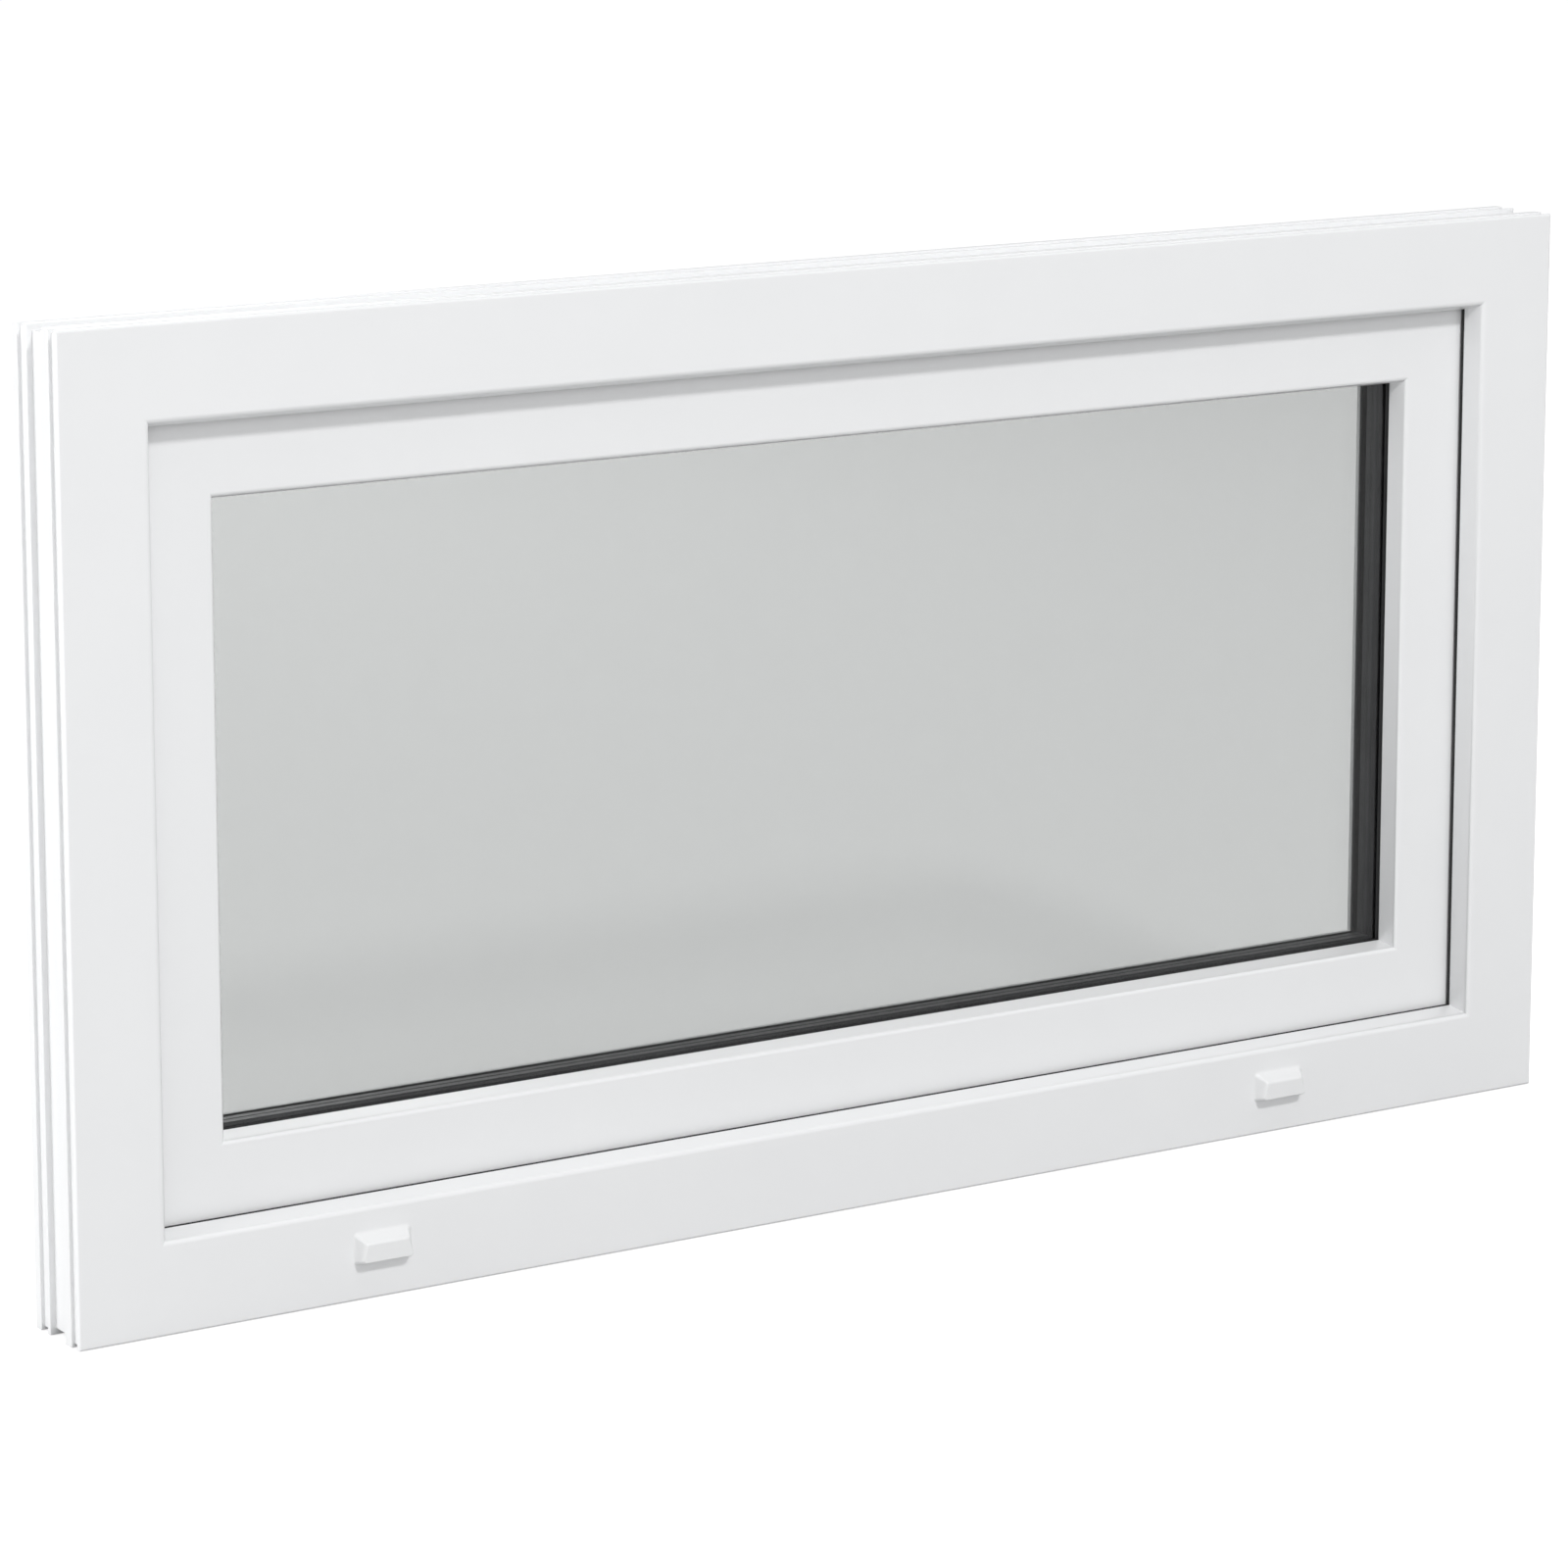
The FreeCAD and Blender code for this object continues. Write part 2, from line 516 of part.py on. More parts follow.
def make_lower_hinge():
    """Frame bracket with its pin, the turning knuckle, and the band on the sash that tilts on the knuckle."""
    bracket = new_body("corner_hinge_bracket")
    block(bracket, (HINGE + "bracket_far_in", "frame_depth", "bracket_low"),
          (HINGE + "bracket_near_in", "gap_back", "bracket_top"))
    block(bracket, (HINGE + "bracket_far_in", "frame_depth", "bracket_low"),
          (HINGE + "bracket_foot_in", "gap_back", "bracket_foot_top"))
    block(bracket, (TURN_X + " - barrel_radius", "frame_depth + 1", "bracket_low"),
          (TURN_X + " + barrel_radius", "axis_depth", "cup_top"))
    rod(bracket, (TURN_X, "axis_depth", "bracket_low"), "barrel_radius", "cup_top - bracket_low", ALONG_Z)
    rod(bracket, (TURN_X, "axis_depth", "bracket_low - 1"), "hinge_pin_radius", "cup_top", ALONG_Z, cut=True)
    pin = new_body("corner_hinge_pin")
    rod(pin, (TURN_X, "axis_depth", "bracket_low"), "hinge_pin_radius", "knuckle_top - 4 - bracket_low", ALONG_Z)

    knuckle = new_body("hinge_knuckle")
    rod(knuckle, (TURN_X, "axis_depth", "knuckle_low"), "barrel_radius", "knuckle_top - knuckle_low", ALONG_Z)
    rod(knuckle, (TURN_X + " + hinge_bore_radius + 0.5", "axis_depth", "tilt_height"), "hinge_pin_radius",
        "tilt_pin_end_in - turn_in - hinge_bore_radius - 0.5", ALONG_X)
    rod(knuckle, (TURN_X, "axis_depth", "knuckle_low - 1"), "hinge_bore_radius",
        "knuckle_top - 3 - knuckle_low + 1", ALONG_Z, cut=True)

    band = new_body("sash_hinge_band")
    rod(band, (HINGE + "band_start_in", "axis_depth", "tilt_height"), "barrel_radius",
        "band_end_in - band_start_in", ALONG_X)
    block(band, (HINGE + "band_start_in", "gap_front", "tilt_height"),
          (HINGE + "band_end_in", "axis_depth", "band_top"))
    block(band, (HINGE + "band_start_in", "gap_front", "tilt_height"),
          (HINGE + "band_end_in", "gap_back", "sash_side_in"))
    block(band, (HINGE + "band_foot_start_in", "band_foot_depth", "sash_side_in - band_thickness"),
          (HINGE + "band_foot_end_in", "gap_back", "sash_side_in"))
    rod(band, (HINGE + "band_start_in - 1", "axis_depth", "tilt_height"), "hinge_bore_radius",
        "band_end_in - band_start_in + 2", ALONG_X, cut=True)


def make_upper_hinge():
    """Stay bracket and pin on the frame, the stay arm, and the pin on the sash that the arm's slot rides on."""
    bracket = new_body("stay_bracket")
    block(bracket, (HINGE + "bracket_far_in", "frame_depth", "stay_plate_low"),
          (HINGE + "bracket_near_in + 1", "gap_back", "stay_plate_high"))
    for low, high in (("stay_bracket_low", "stay_lower_top"), ("stay_upper_low", "stay_bracket_high")):
        block(bracket, (TURN_X + " - barrel_radius - 1", "frame_depth", low), (TURN_X, "gap_back", high))
        block(bracket, (TURN_X + " - barrel_radius", "frame_depth", low), (TURN_X, "axis_depth", high))
        rod(bracket, (TURN_X, "axis_depth", low), "barrel_radius", high + " - " + low, ALONG_Z)
        rod(bracket, (TURN_X, "axis_depth", low + " - 1"), "hinge_pin_radius", high + " - " + low + " + 2", ALONG_Z,
            cut=True)
    pin = new_body("stay_bracket_pin")
    rod(pin, (TURN_X, "axis_depth", "stay_bracket_low - stay_pin_reach"), "hinge_pin_radius",
        "stay_bracket_high - stay_bracket_low + stay_pin_reach", ALONG_Z)
    rod(pin, (TURN_X, "axis_depth", "stay_bracket_high"), "hinge_pin_radius + 1.5", "stay_pin_reach", ALONG_Z)

    arm = new_body("stay_arm")
    arm_end = TURN_X + " + arm_low / 2 + arm_high / 2 - tilt_height + arm_tail"
    front = "hardware_axis - arm_half_width"
    back = "hardware_axis + arm_half_width"
    outline = [(TURN_X, "gap_front"), (HINGE + "crank_end_in", "gap_front"),
               (HINGE + "crank_end_in", "crank_front"),
               (HINGE + "sash_side_in", front), (arm_end, front), (arm_end, back), (HINGE + "arm_back_in", back),
               (HINGE + "crank_back_in", "gap_back"), (TURN_X, "gap_back")]
    sketch = rect_sketch(arm, "ArmOutline", "XY_Plane", outline, "arm_low")
    pad(arm, sketch, "arm_high - arm_low")
    block(arm, (TURN_X, "gap_front", "arm_barrel_low"), (HINGE + "crank_end_in", "gap_back", "arm_high"))
    block(arm, (TURN_X, "gap_front", "arm_barrel_low"),
          (TURN_X + " + barrel_radius", "axis_depth", "arm_barrel_high"))
    rod(arm, (TURN_X, "axis_depth", "arm_barrel_low"), "barrel_radius", "arm_barrel_high - arm_barrel_low",
        ALONG_Z)
    rod(arm, (TURN_X, "axis_depth", "arm_barrel_low - 1"), "hinge_bore_radius",
        "arm_barrel_high - arm_barrel_low + 2", ALONG_Z, cut=True)
    pin_x = TURN_X + " + arm_low / 2 + arm_high / 2 - tilt_height"
    block(arm, (pin_x, "hardware_axis - slot_half", "arm_low - 1"),
          (pin_x + " + slot_travel", "hardware_axis + slot_half", "arm_high + 1"), cut=True)
    for shift in ("", " + slot_travel"):
        rod(arm, (pin_x + shift, "hardware_axis", "arm_low - 1"), "slot_half", "arm_high - arm_low + 2", ALONG_Z,
            cut=True)

    stay_pin = new_body("stay_sash_pin")
    block(stay_pin, (pin_x + " - stay_plate_half", "hardware_axis - plate_half", "height - sash_side_in"),
          (pin_x + " + stay_plate_half", "hardware_axis + plate_half", "height - sash_side_in + stay_plate"))
    rod(stay_pin, (pin_x, "hardware_axis", "height - sash_side_in"), "stay_pin_radius",
        "stay_pin_top - height + sash_side_in", ALONG_Z)


def make_hinge_covers():
    """Moulded caps that hide the screws of the frame brackets; the lower one is open above the bracket's foot."""
    sizes = (("lower_hinge_cover", "bracket_foot_top + 1", "bracket_foot_top", "bracket_top + 1"),
             ("upper_hinge_cover", "stay_plate_low - 1", "stay_plate_low - 1 + cover_wall",
              "stay_plate_high + 1"))
    for label, low, hollow_low, high in sizes:
        cover = new_body(label)
        block(cover, (HINGE + "bracket_far_in - 1", "frame_depth", low),
              (HINGE + "bracket_near_in - 0.5", "cover_back", high))
        block(cover, (HINGE + "bracket_far_in", "frame_depth - 1", hollow_low),
              (HINGE + "bracket_near_in + 1", "gap_back + 1", high + " - cover_wall"), cut=True)


def make_hinge_screws():
    """Countersunk screws of the frame brackets, of the sash band and of the stay pin's plate."""
    x_place = HINGE + "bracket_screw_in"
    heights = ("bracket_low + 24", "bracket_low + 50", "stay_plate_low + 18", "stay_plate_low + 46",
               "stay_plate_low + 78")
    screws = [countersunk_screw((x_place, "gap_back", height), OUTWARD, "small_screw_length", "small_screw_radius")
              for height in heights]
    group("hinge_screws", screws)
    band = [countersunk_screw((HINGE + inset, "hardware_axis + 2", "sash_side_in - band_thickness"), ALONG_Z,
                              "small_screw_length", "small_screw_radius")
            for inset in ("band_screw_one_in", "band_screw_two_in")]
    pin_x = TURN_X + " + arm_low / 2 + arm_high / 2 - tilt_height"
    down = VECTOR(0, 0, -1)
    band += [countersunk_screw((pin_x + shift, "hardware_axis", "height - sash_side_in + stay_plate"), down,
                               "small_screw_length", "small_screw_radius")
             for shift in (" - stay_screw_spread", " + stay_screw_spread")]
    group("sash_band_screws", band)


# Punched holes of the stile rod that meet the pinion's teeth, counted from the handle's height.
FIRST_HOLE = -8
LAST_HOLE = 2


def make_gearbox():
    """Gearbox case in the stile's groove, open towards the rod, and the pinion on the spindle."""
    low, high = "handle_height - gearbox_half_height", "handle_height + gearbox_half_height"
    front, back = "hardware_axis - channel_half + 0.4", "hardware_axis + channel_half - 0.4"
    gearbox = new_body("gearbox_case")
    block(gearbox, (LOCK + "gearbox_end_in", front, low), (LOCK + "gearbox_start_in", back, high))
    inner_front, inner_back = front + " + gearbox_wall", back + " - gearbox_wall"
    block(gearbox, (LOCK + "gearbox_end_in + gearbox_wall", inner_front, "handle_height - pinion_room"),
          (LOCK + "gearbox_start_in + 1", inner_back, "handle_height + pinion_room"), cut=True)
    rod(gearbox, (LOCK + "spindle_in", "hardware_axis - 10", "handle_height"), "spindle_hole", "20", ALONG_Y,
        cut=True)
    for offset in (" - screw_spread", " + screw_spread"):
        rod(gearbox, (LOCK + "spindle_in", "hardware_axis - 10", "handle_height" + offset), "screw_radius + 0.2",
            "20", ALONG_Y, cut=True)

    pinion = new_body("drive_pinion")
    tooth_outline = [("pinion_root", "0 - tooth_root_half"), ("pinion_tip", "0 - tooth_tip_half"),
                     ("pinion_tip", "tooth_tip_half"), ("pinion_root", "tooth_root_half")]
    rod(pinion, ("0", "0 - pinion_half", "0"), "pinion_hub", "pinion_half * 2", ALONG_Y)
    sketch = polygon_sketch(pinion, "Tooth", "XZ_Plane", [tooth_outline])
    tooth = pad(pinion, sketch, "pinion_half * 2")
    tooth.Midplane = True
    teeth = pinion.newObject("PartDesign::PolarPattern", "Teeth")
    teeth.Originals = [tooth]
    teeth.Axis = (origin_plane(pinion, "Y_Axis"), [""])
    teeth.Angle = 360
    teeth.setExpression("Occurrences", bound("pinion_teeth"))
    pinion.Tip = teeth
    block(pinion, ("0 - spindle_half", "0 - 5", "0 - spindle_half"), ("spindle_half", "5", "spindle_half"),
          cut=True)
    place(pinion, (LOCK + "spindle_in", "hardware_axis", "handle_height"))


def make_rods():
    """Drive rods in the groove with their cams, and the faceplates that cover them."""
    stile = new_body("stile_drive_rod")
    block(stile, (LOCK + "rod_high_in", "hardware_axis - rod_half_width", "stile_rod_low"),
          (LOCK + "rod_low_in", "hardware_axis + rod_half_width", "stile_rod_high"))
    for step in range(FIRST_HOLE, LAST_HOLE + 1):
        middle = "handle_height + %d * hole_pitch" % step
        block(stile, (LOCK + "rod_high_in - 1", "hardware_axis - hole_half_width", middle + " - hole_half_height"),
              (LOCK + "rod_low_in + 1", "hardware_axis + hole_half_width", middle + " + hole_half_height"), cut=True)
    top = new_body("top_drive_rod")
    block(top, ("top_rod_start", "hardware_axis - rod_half_width", "height - rod_high_in"),
          ("top_rod_end", "hardware_axis + rod_half_width", "height - rod_low_in"))

    cams = []
    for height in ("cam_low_height", "cam_high_height"):
        body = new_body("cam", kept=False)
        rod(body, (LOCK + "rod_low_in", "hardware_axis", height), "cam_post_radius", "rod_low_in - cam_head_in",
            ALONG_X)
        rod(body, (LOCK + "cam_head_end_in", "hardware_axis", height), "cam_radius",
            "cam_head_end_in - cam_head_in", ALONG_X)
        cams.append(body)
    group("stile_cams", cams)
    top_cam = new_body("top_cam")
    rod(top_cam, ("top_cam_x", "hardware_axis", "height - rod_low_in"), "cam_post_radius",
        "rod_low_in - cam_head_in", ALONG_Z)
    rod(top_cam, ("top_cam_x", "hardware_axis", "height - cam_head_end_in"), "cam_radius",
        "cam_head_end_in - cam_head_in", ALONG_Z)

    plate = new_body("stile_faceplate")
    block(plate, (LOCK + "plate_in", "hardware_axis - plate_half + 0.2", "plate_low"),
          (LOCK + "sash_side_in", "hardware_axis + plate_half - 0.2", "plate_high"))
    for height in ("cam_low_height", "cam_high_height"):
        block(plate, (LOCK + "plate_in - 1", "hardware_axis - cam_post_radius - slot_play",
                      height + " - cam_post_radius - slot_play"),
              (LOCK + "sash_side_in + 1", "hardware_axis + cam_post_radius + slot_play",
               height + " + rod_travel + cam_post_radius + slot_play"), cut=True)
    top_plate = new_body("top_faceplate")
    block(top_plate, ("top_plate_start", "hardware_axis - plate_half + 0.2", "height - plate_in"),
          ("top_plate_end", "hardware_axis + plate_half - 0.2", "height - sash_side_in"))
    block(top_plate, ("top_cam_x - rod_travel - cam_post_radius - slot_play",
                      "hardware_axis - cam_post_radius - slot_play", "height - plate_in - 1"),
          ("top_cam_x + cam_post_radius + slot_play", "hardware_axis + cam_post_radius + slot_play",
           "height - sash_side_in + 1"), cut=True)
    inward = VECTOR(-1, 0, 0)
    heights = ("plate_low + plate_screw_end", "plate_high - plate_screw_end")
    screws = [countersunk_screw((LOCK + "sash_side_in", "hardware_axis", height), inward,
                                "small_screw_length", "small_screw_radius") for height in heights]
    corner = new_body("corner_faceplate")
    plate_front, plate_back = "hardware_axis - plate_half + 0.2", "hardware_axis + plate_half - 0.2"
    block(corner, (LOCK + "plate_in", plate_front, "plate_high + 0.5"),
          (LOCK + "sash_side_in", plate_back, "height - sash_side_in"))
    block(corner, ("top_plate_end + 0.5", plate_front, "height - plate_in"),
          (LOCK + "sash_side_in", plate_back, "height - sash_side_in"))
    down = VECTOR(0, 0, -1)
    screws.append(countersunk_screw(("top_plate_start + plate_screw_end", "hardware_axis", "height - sash_side_in"),
                                    down, "small_screw_length", "small_screw_radius"))
    group("faceplate_screws", screws)


def make_keeps():
    """Keeps on the frame that the cams pull against, with their screws, and the run-up block on the sill."""
    keeps = []
    screws = []
    for height in ("cam_low_height", "cam_high_height"):
        middle = height + " + rod_travel"
        body = new_body("keep", kept=False)
        block(body, (LOCK + "rebate_in - keep_base", "hardware_axis - keep_half_width", middle + " - keep_half"),
              (LOCK + "rebate_in", "hardware_axis + keep_half_width", middle + " + keep_half"))
        block(body, (LOCK + "keep_wall_in", "keep_wall_start", middle + " - keep_half"),
              (LOCK + "rebate_in - 1", "keep_wall_end", middle + " + keep_half"))
        keeps.append(body)
        screws.append(countersunk_screw((LOCK + "rebate_in - keep_base", "hardware_axis - 2.5", middle), ALONG_X,
                                        "small_screw_length", "small_screw_radius"))
    middle = "top_cam_x - rod_travel"
    body = new_body("keep", kept=False)
    block(body, (middle + " - keep_half", "hardware_axis - keep_half_width", "height - rebate_in - keep_base"),
          (middle + " + keep_half", "hardware_axis + keep_half_width", "height - rebate_in"))
    block(body, (middle + " - keep_half", "keep_wall_start", "height - keep_wall_in"),
          (middle + " + keep_half", "keep_wall_end", "height - rebate_in - 1"))
    keeps.append(body)
    screws.append(countersunk_screw((middle, "hardware_axis - 2.5", "height - rebate_in - keep_base"), ALONG_Z,
                                    "small_screw_length", "small_screw_radius"))
    group("lock_keeps", keeps)
    group("keep_screws", screws)
    runup = new_body("run_up_block")
    block(runup, ("runup_x - runup_half", "hardware_axis - plate_half", "rebate_in"),
          ("runup_x + runup_half", "hardware_axis + plate_half", "runup_top"))


def make_handle():
    """Handle that turns on the lock stile: grip, spindle, rosette, its cover and two long screws."""
    centre_x = LOCK + "spindle_in"
    base = new_body("handle_rosette")
    block(base, (centre_x + " - rosette_half_width + 1", "sash_back", "handle_height - rosette_half_height + 1"),
          (centre_x + " + rosette_half_width - 1", "sash_back + rosette_base",
           "handle_height + rosette_half_height - 1"))
    rod(base, (centre_x, "sash_back - 1", "handle_height"), "spindle_hole", "rosette_base + 2", ALONG_Y, cut=True)
    cover = new_body("rosette_cover")
    block(cover, (centre_x + " - rosette_half_width", "sash_back", "handle_height - rosette_half_height"),
          (centre_x + " + rosette_half_width", "sash_back + rosette_depth", "handle_height + rosette_half_height"))
    block(cover, (centre_x + " - rosette_half_width + 1", "sash_back - 1",
                  "handle_height - rosette_half_height + 1"),
          (centre_x + " + rosette_half_width - 1", "sash_back + rosette_base + 2",
           "handle_height + rosette_half_height - 1"), cut=True)
    rod(cover, (centre_x, "sash_back", "handle_height"), "spindle_hole", "rosette_depth + 2", ALONG_Y, cut=True)
    screws = []
    for offset in (" - screw_spread", " + screw_spread"):
        body = new_body("handle_screw", kept=False)
        head_depth = "sash_back + rosette_base"
        rod(body, (centre_x, head_depth, "handle_height" + offset), "screw_radius", "screw_length + 6", OUTWARD)
        rod(body, (centre_x, head_depth, "handle_height" + offset), "screw_head_radius", "screw_head_height - 0.4",
            ALONG_Y)
        screws.append(body)
    group("handle_screws", screws)

    grip = new_body("handle_grip")
    neck_start = "sash_back + rosette_depth + grip_gap"
    lever = block(grip, (centre_x + " - grip_half_width", "grip_front", "handle_height - grip_heel"),
                  (centre_x + " + grip_half_width", "grip_back", "handle_height + grip_tip"))
    document.recompute()
    rounded = grip.newObject("PartDesign::Fillet", "RoundedLever")
    rounded.Base = (lever, ["Edge%d" % (index + 1) for index in range(len(lever.Shape.Edges))])
    rounded.setExpression("Radius", bound("grip_round"))
    rod(grip, (centre_x, neck_start, "handle_height"), "neck_radius", "grip_back - 4 - sash_back - rosette_depth",
        ALONG_Y)
    half = "spindle_half"
    block(grip, (centre_x + " - " + half, neck_start + " - 1", "handle_height - " + half),
          (centre_x + " + " + half, neck_start + " + 14", "handle_height + " + half), cut=True)
    spindle = new_body("handle_spindle")
    block(spindle, (centre_x + " - " + half, "hardware_axis - pinion_half - 1", "handle_height - " + half),
          (centre_x + " + " + half, "sash_back + rosette_depth + 13", "handle_height + " + half))


def mirrored(thing):
    """Return a sub-part mirrored about X = 0, which swaps the hinge side and the lock side."""
    feature = document.addObject("Part::Mirroring", "Mirrored_" + thing.Name)
    feature.Source = thing
    feature.Normal = ALONG_X
    return feature


def write_nodes():
    """Mirror every sub-part, check every object, then write one file for each sub-part."""
    finished = {thing.Label: mirrored(thing) for thing in nodes}
    document.recompute()
    faults = [thing.Label for thing in document.Objects if "Invalid" in thing.State or "Error" in thing.State]
    faults += [label for label, thing in finished.items() if thing.Shape.isNull() or not thing.Shape.isValid()]
    if faults:
        raise RuntimeError("failed objects: " + ", ".join(faults))
    os.makedirs("parts", exist_ok=True)
    for label, thing in finished.items():
        thing.Shape.exportStep("parts/%s.step" % label)
        print(label, len(thing.Shape.Solids), round(thing.Shape.Volume))


fill_sheet()
make_frame()
make_steels()
make_sash()
make_seals()
make_glazing()
make_drain_caps()
make_lower_hinge()
make_upper_hinge()
make_hinge_covers()
make_hinge_screws()
make_gearbox()
make_rods()
make_keeps()
make_handle()
write_nodes()
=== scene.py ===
"""Looks of the casement window: rounded profiles, glass, seals, hood caps, handle, studio and camera."""
import json
import math
import bmesh
import bpy
from mathutils import Matrix, Vector

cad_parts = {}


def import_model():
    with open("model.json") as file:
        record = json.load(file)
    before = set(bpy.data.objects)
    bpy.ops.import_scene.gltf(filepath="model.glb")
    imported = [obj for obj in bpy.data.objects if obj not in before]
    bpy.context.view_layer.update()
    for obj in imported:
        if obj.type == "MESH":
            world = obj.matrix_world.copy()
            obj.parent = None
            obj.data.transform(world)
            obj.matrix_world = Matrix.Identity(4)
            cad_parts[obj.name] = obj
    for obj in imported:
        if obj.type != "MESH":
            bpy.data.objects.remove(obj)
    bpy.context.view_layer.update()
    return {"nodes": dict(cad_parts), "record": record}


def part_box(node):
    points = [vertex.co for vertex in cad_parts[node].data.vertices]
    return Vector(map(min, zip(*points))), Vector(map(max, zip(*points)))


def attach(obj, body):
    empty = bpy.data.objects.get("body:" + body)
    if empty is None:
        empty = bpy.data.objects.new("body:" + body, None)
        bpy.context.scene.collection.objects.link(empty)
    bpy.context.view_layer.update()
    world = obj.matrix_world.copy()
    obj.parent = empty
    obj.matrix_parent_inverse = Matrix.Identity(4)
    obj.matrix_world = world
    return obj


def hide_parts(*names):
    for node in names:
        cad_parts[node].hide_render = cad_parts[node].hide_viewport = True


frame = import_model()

MM = 0.001
SILL_LOW, SILL_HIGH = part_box("frame_sill")
LEFT, RIGHT = SILL_LOW.x, SILL_HIGH.x
FRONT, BOTTOM = SILL_LOW.y, SILL_LOW.z
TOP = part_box("frame_head")[1].z

# Corners of the window as signs of x and z, and the two corners between which each bar runs.
CORNERS = [(-1, -1), (1, -1), (1, 1), (-1, 1)]
SIDES = {"sill": (CORNERS[0], CORNERS[1]), "hinge_jamb": (CORNERS[1], CORNERS[2]),
         "head": (CORNERS[2], CORNERS[3]), "lock_jamb": (CORNERS[3], CORNERS[0])}

# Sections as (depth, inset, corner radius) in millimetres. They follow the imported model's sections
# and round their corners.
FRAME_SECTION = [
    (0, 0, 1.6), (3.3, 0, 0.6), (3.3, 2.4, 0.5), (10.2, 2.4, 0.5), (10.2, 0, 0.6), (18.1, 0, 0.6),
    (18.1, 2.4, 0.5), (24.5, 2.4, 0.4), (24.5, 4, 0.5), (38.5, 4, 0.5), (38.5, 0, 0.6), (42.3, 0, 0.6),
    (42.3, 2.4, 0.5), (50.7, 2.4, 0.5), (50.7, 0, 0.5), (58, 0, 0.9), (58, 42, 1.2), (14.9, 42, 0.5),
    (14.9, 61.75, 1.2), (0, 57.4, 4.0),
]
SASH_SECTION = [
    (18.5, 54, 1.2), (18.5, 106.5, 3.2), (32.8, 109.7, 0.8), (32.8, 92, 0.5), (67, 92, 0.3), (67, 88.5, 0),
    (70, 88.5, 0), (70, 92, 0.3), (76.5, 92, 0.6), (76.5, 34, 2.2), (61.5, 34, 1.0), (61.5, 54, 0.5),
    (56, 54, 0.5), (56, 57, 0.2), (53, 57, 0.2), (53, 66, 0), (41, 66, 0), (41, 57, 0.2), (38, 57, 0.2),
    (38, 54, 0.5),
]
BEAD_SECTION = [
    (62.8, 92, 0.2), (62.8, 109.7, 0.4), (66, 109.7, 0.9), (76.5, 95, 2.4), (76.5, 92, 0.2), (70, 92, 0.2),
    (70, 88.5, 0.4), (67, 88.5, 0.4), (67, 92, 0.2),
]
FRAME_SEAL_SECTION = [
    (14.9, 54.6, 0), (16.2, 54.6, 0.3), (16.6, 55.6, 0.3), (18.2, 55.6, 0.4), (18.2, 60.6, 0.9),
    (16.4, 61.5, 0.6), (14.9, 61.3, 0),
]
OUTER_SEAL_SECTION = [
    (32.8, 101, 0), (32.8, 108.6, 0.3), (33.6, 109.1, 0.3), (34.4, 109.0, 0.2), (35.8, 110.1, 0.2),
    (35.8, 101, 0),
]
INNER_SEAL_SECTION = [
    (62.8, 101, 0), (62.8, 108.9, 0.3), (62.0, 109.4, 0.3), (61.2, 109.3, 0.2), (59.8, 110.5, 0.2),
    (59.8, 101, 0),
]
SPACER_SECTION = [
    (39.8, 104.5, 0), (39.8, 109.1, 0.2), (40.9, 110.2, 0.2), (41.2, 109.8, 0.1), (42.2, 110.9, 0.2),
    (46.9, 110.9, 0.1), (47.1, 110.6, 0.1), (48.5, 110.6, 0.1), (48.7, 110.9, 0.1), (53.4, 110.9, 0.2),
    (54.4, 109.8, 0.1), (54.7, 110.2, 0.2), (55.8, 109.1, 0.2), (55.8, 104.5, 0),
]


# ---------------------------------------------------------------- materials

# Noise scales are in cells per metre, and the relief's depth is in metres.
NOISE_ROUGHNESS = 0.55
UNEVEN_SCALE = 190
FLECKS_PER_CLOUD = 12
RELIEF_DEPTH = 0.0002
COAT_ROUGHNESS = 0.2

# Glass: gloss seen straight on and at grazing angles, and the power between them.
GLOSS_STRAIGHT, GLOSS_GRAZING, GLOSS_POWER = 0.035, 0.9, 5.0
# The smears on it: cells per metre, and the most roughness that they add.
SMEAR_SCALE, SMEAR_ROUGHNESS = 9, 0.03


def new_material(name):
    """An empty node material; returns it with its node tree and its output node."""
    made = bpy.data.materials.new(name)
    made.use_nodes = True
    tree = made.node_tree
    tree.nodes.clear()
    return made, tree, tree.nodes.new("ShaderNodeOutputMaterial")


def add(tree, kind, inputs=None, **settings):
    """Adds a node, sets its properties, and fills its inputs with values or links."""
    node = tree.nodes.new(kind)
    for key, value in settings.items():
        setattr(node, key, value)
    for key, value in (inputs or {}).items():
        if isinstance(value, bpy.types.NodeSocket):
            tree.links.new(value, node.inputs[key])
        else:
            node.inputs[key].default_value = value
    return node


def noise(tree, place, scale, detail=3.0):
    """Noise value at a place, with the scale in cells per metre."""
    made = add(tree, "ShaderNodeTexNoise", {"Vector": place, "Scale": scale, "Detail": detail,
                                            "Roughness": NOISE_ROUGHNESS})
    return made.outputs["Fac"]


def spread(tree, value, low, high, start=0.3, end=0.7):
    """Maps a value's start to end onto low to high."""
    made = add(tree, "ShaderNodeMapRange", {"Value": value, "From Min": start, "From Max": end,
                                            "To Min": low, "To Max": high})
    return made.outputs["Result"]


def blend_colours(tree, factor, first, second):
    """Mixes two colours by a value."""
    made = add(tree, "ShaderNodeMix", {"Factor": factor}, data_type="RGBA")
    for key, colour in (("A", first), ("B", second)):
        socket = [s for s in made.inputs if s.name == key and s.type == "RGBA"][0]
        if isinstance(colour, bpy.types.NodeSocket):
            tree.links.new(colour, socket)
        else:
            socket.default_value = (*colour, 1)
    return [s for s in made.outputs if s.type == "RGBA"][0]


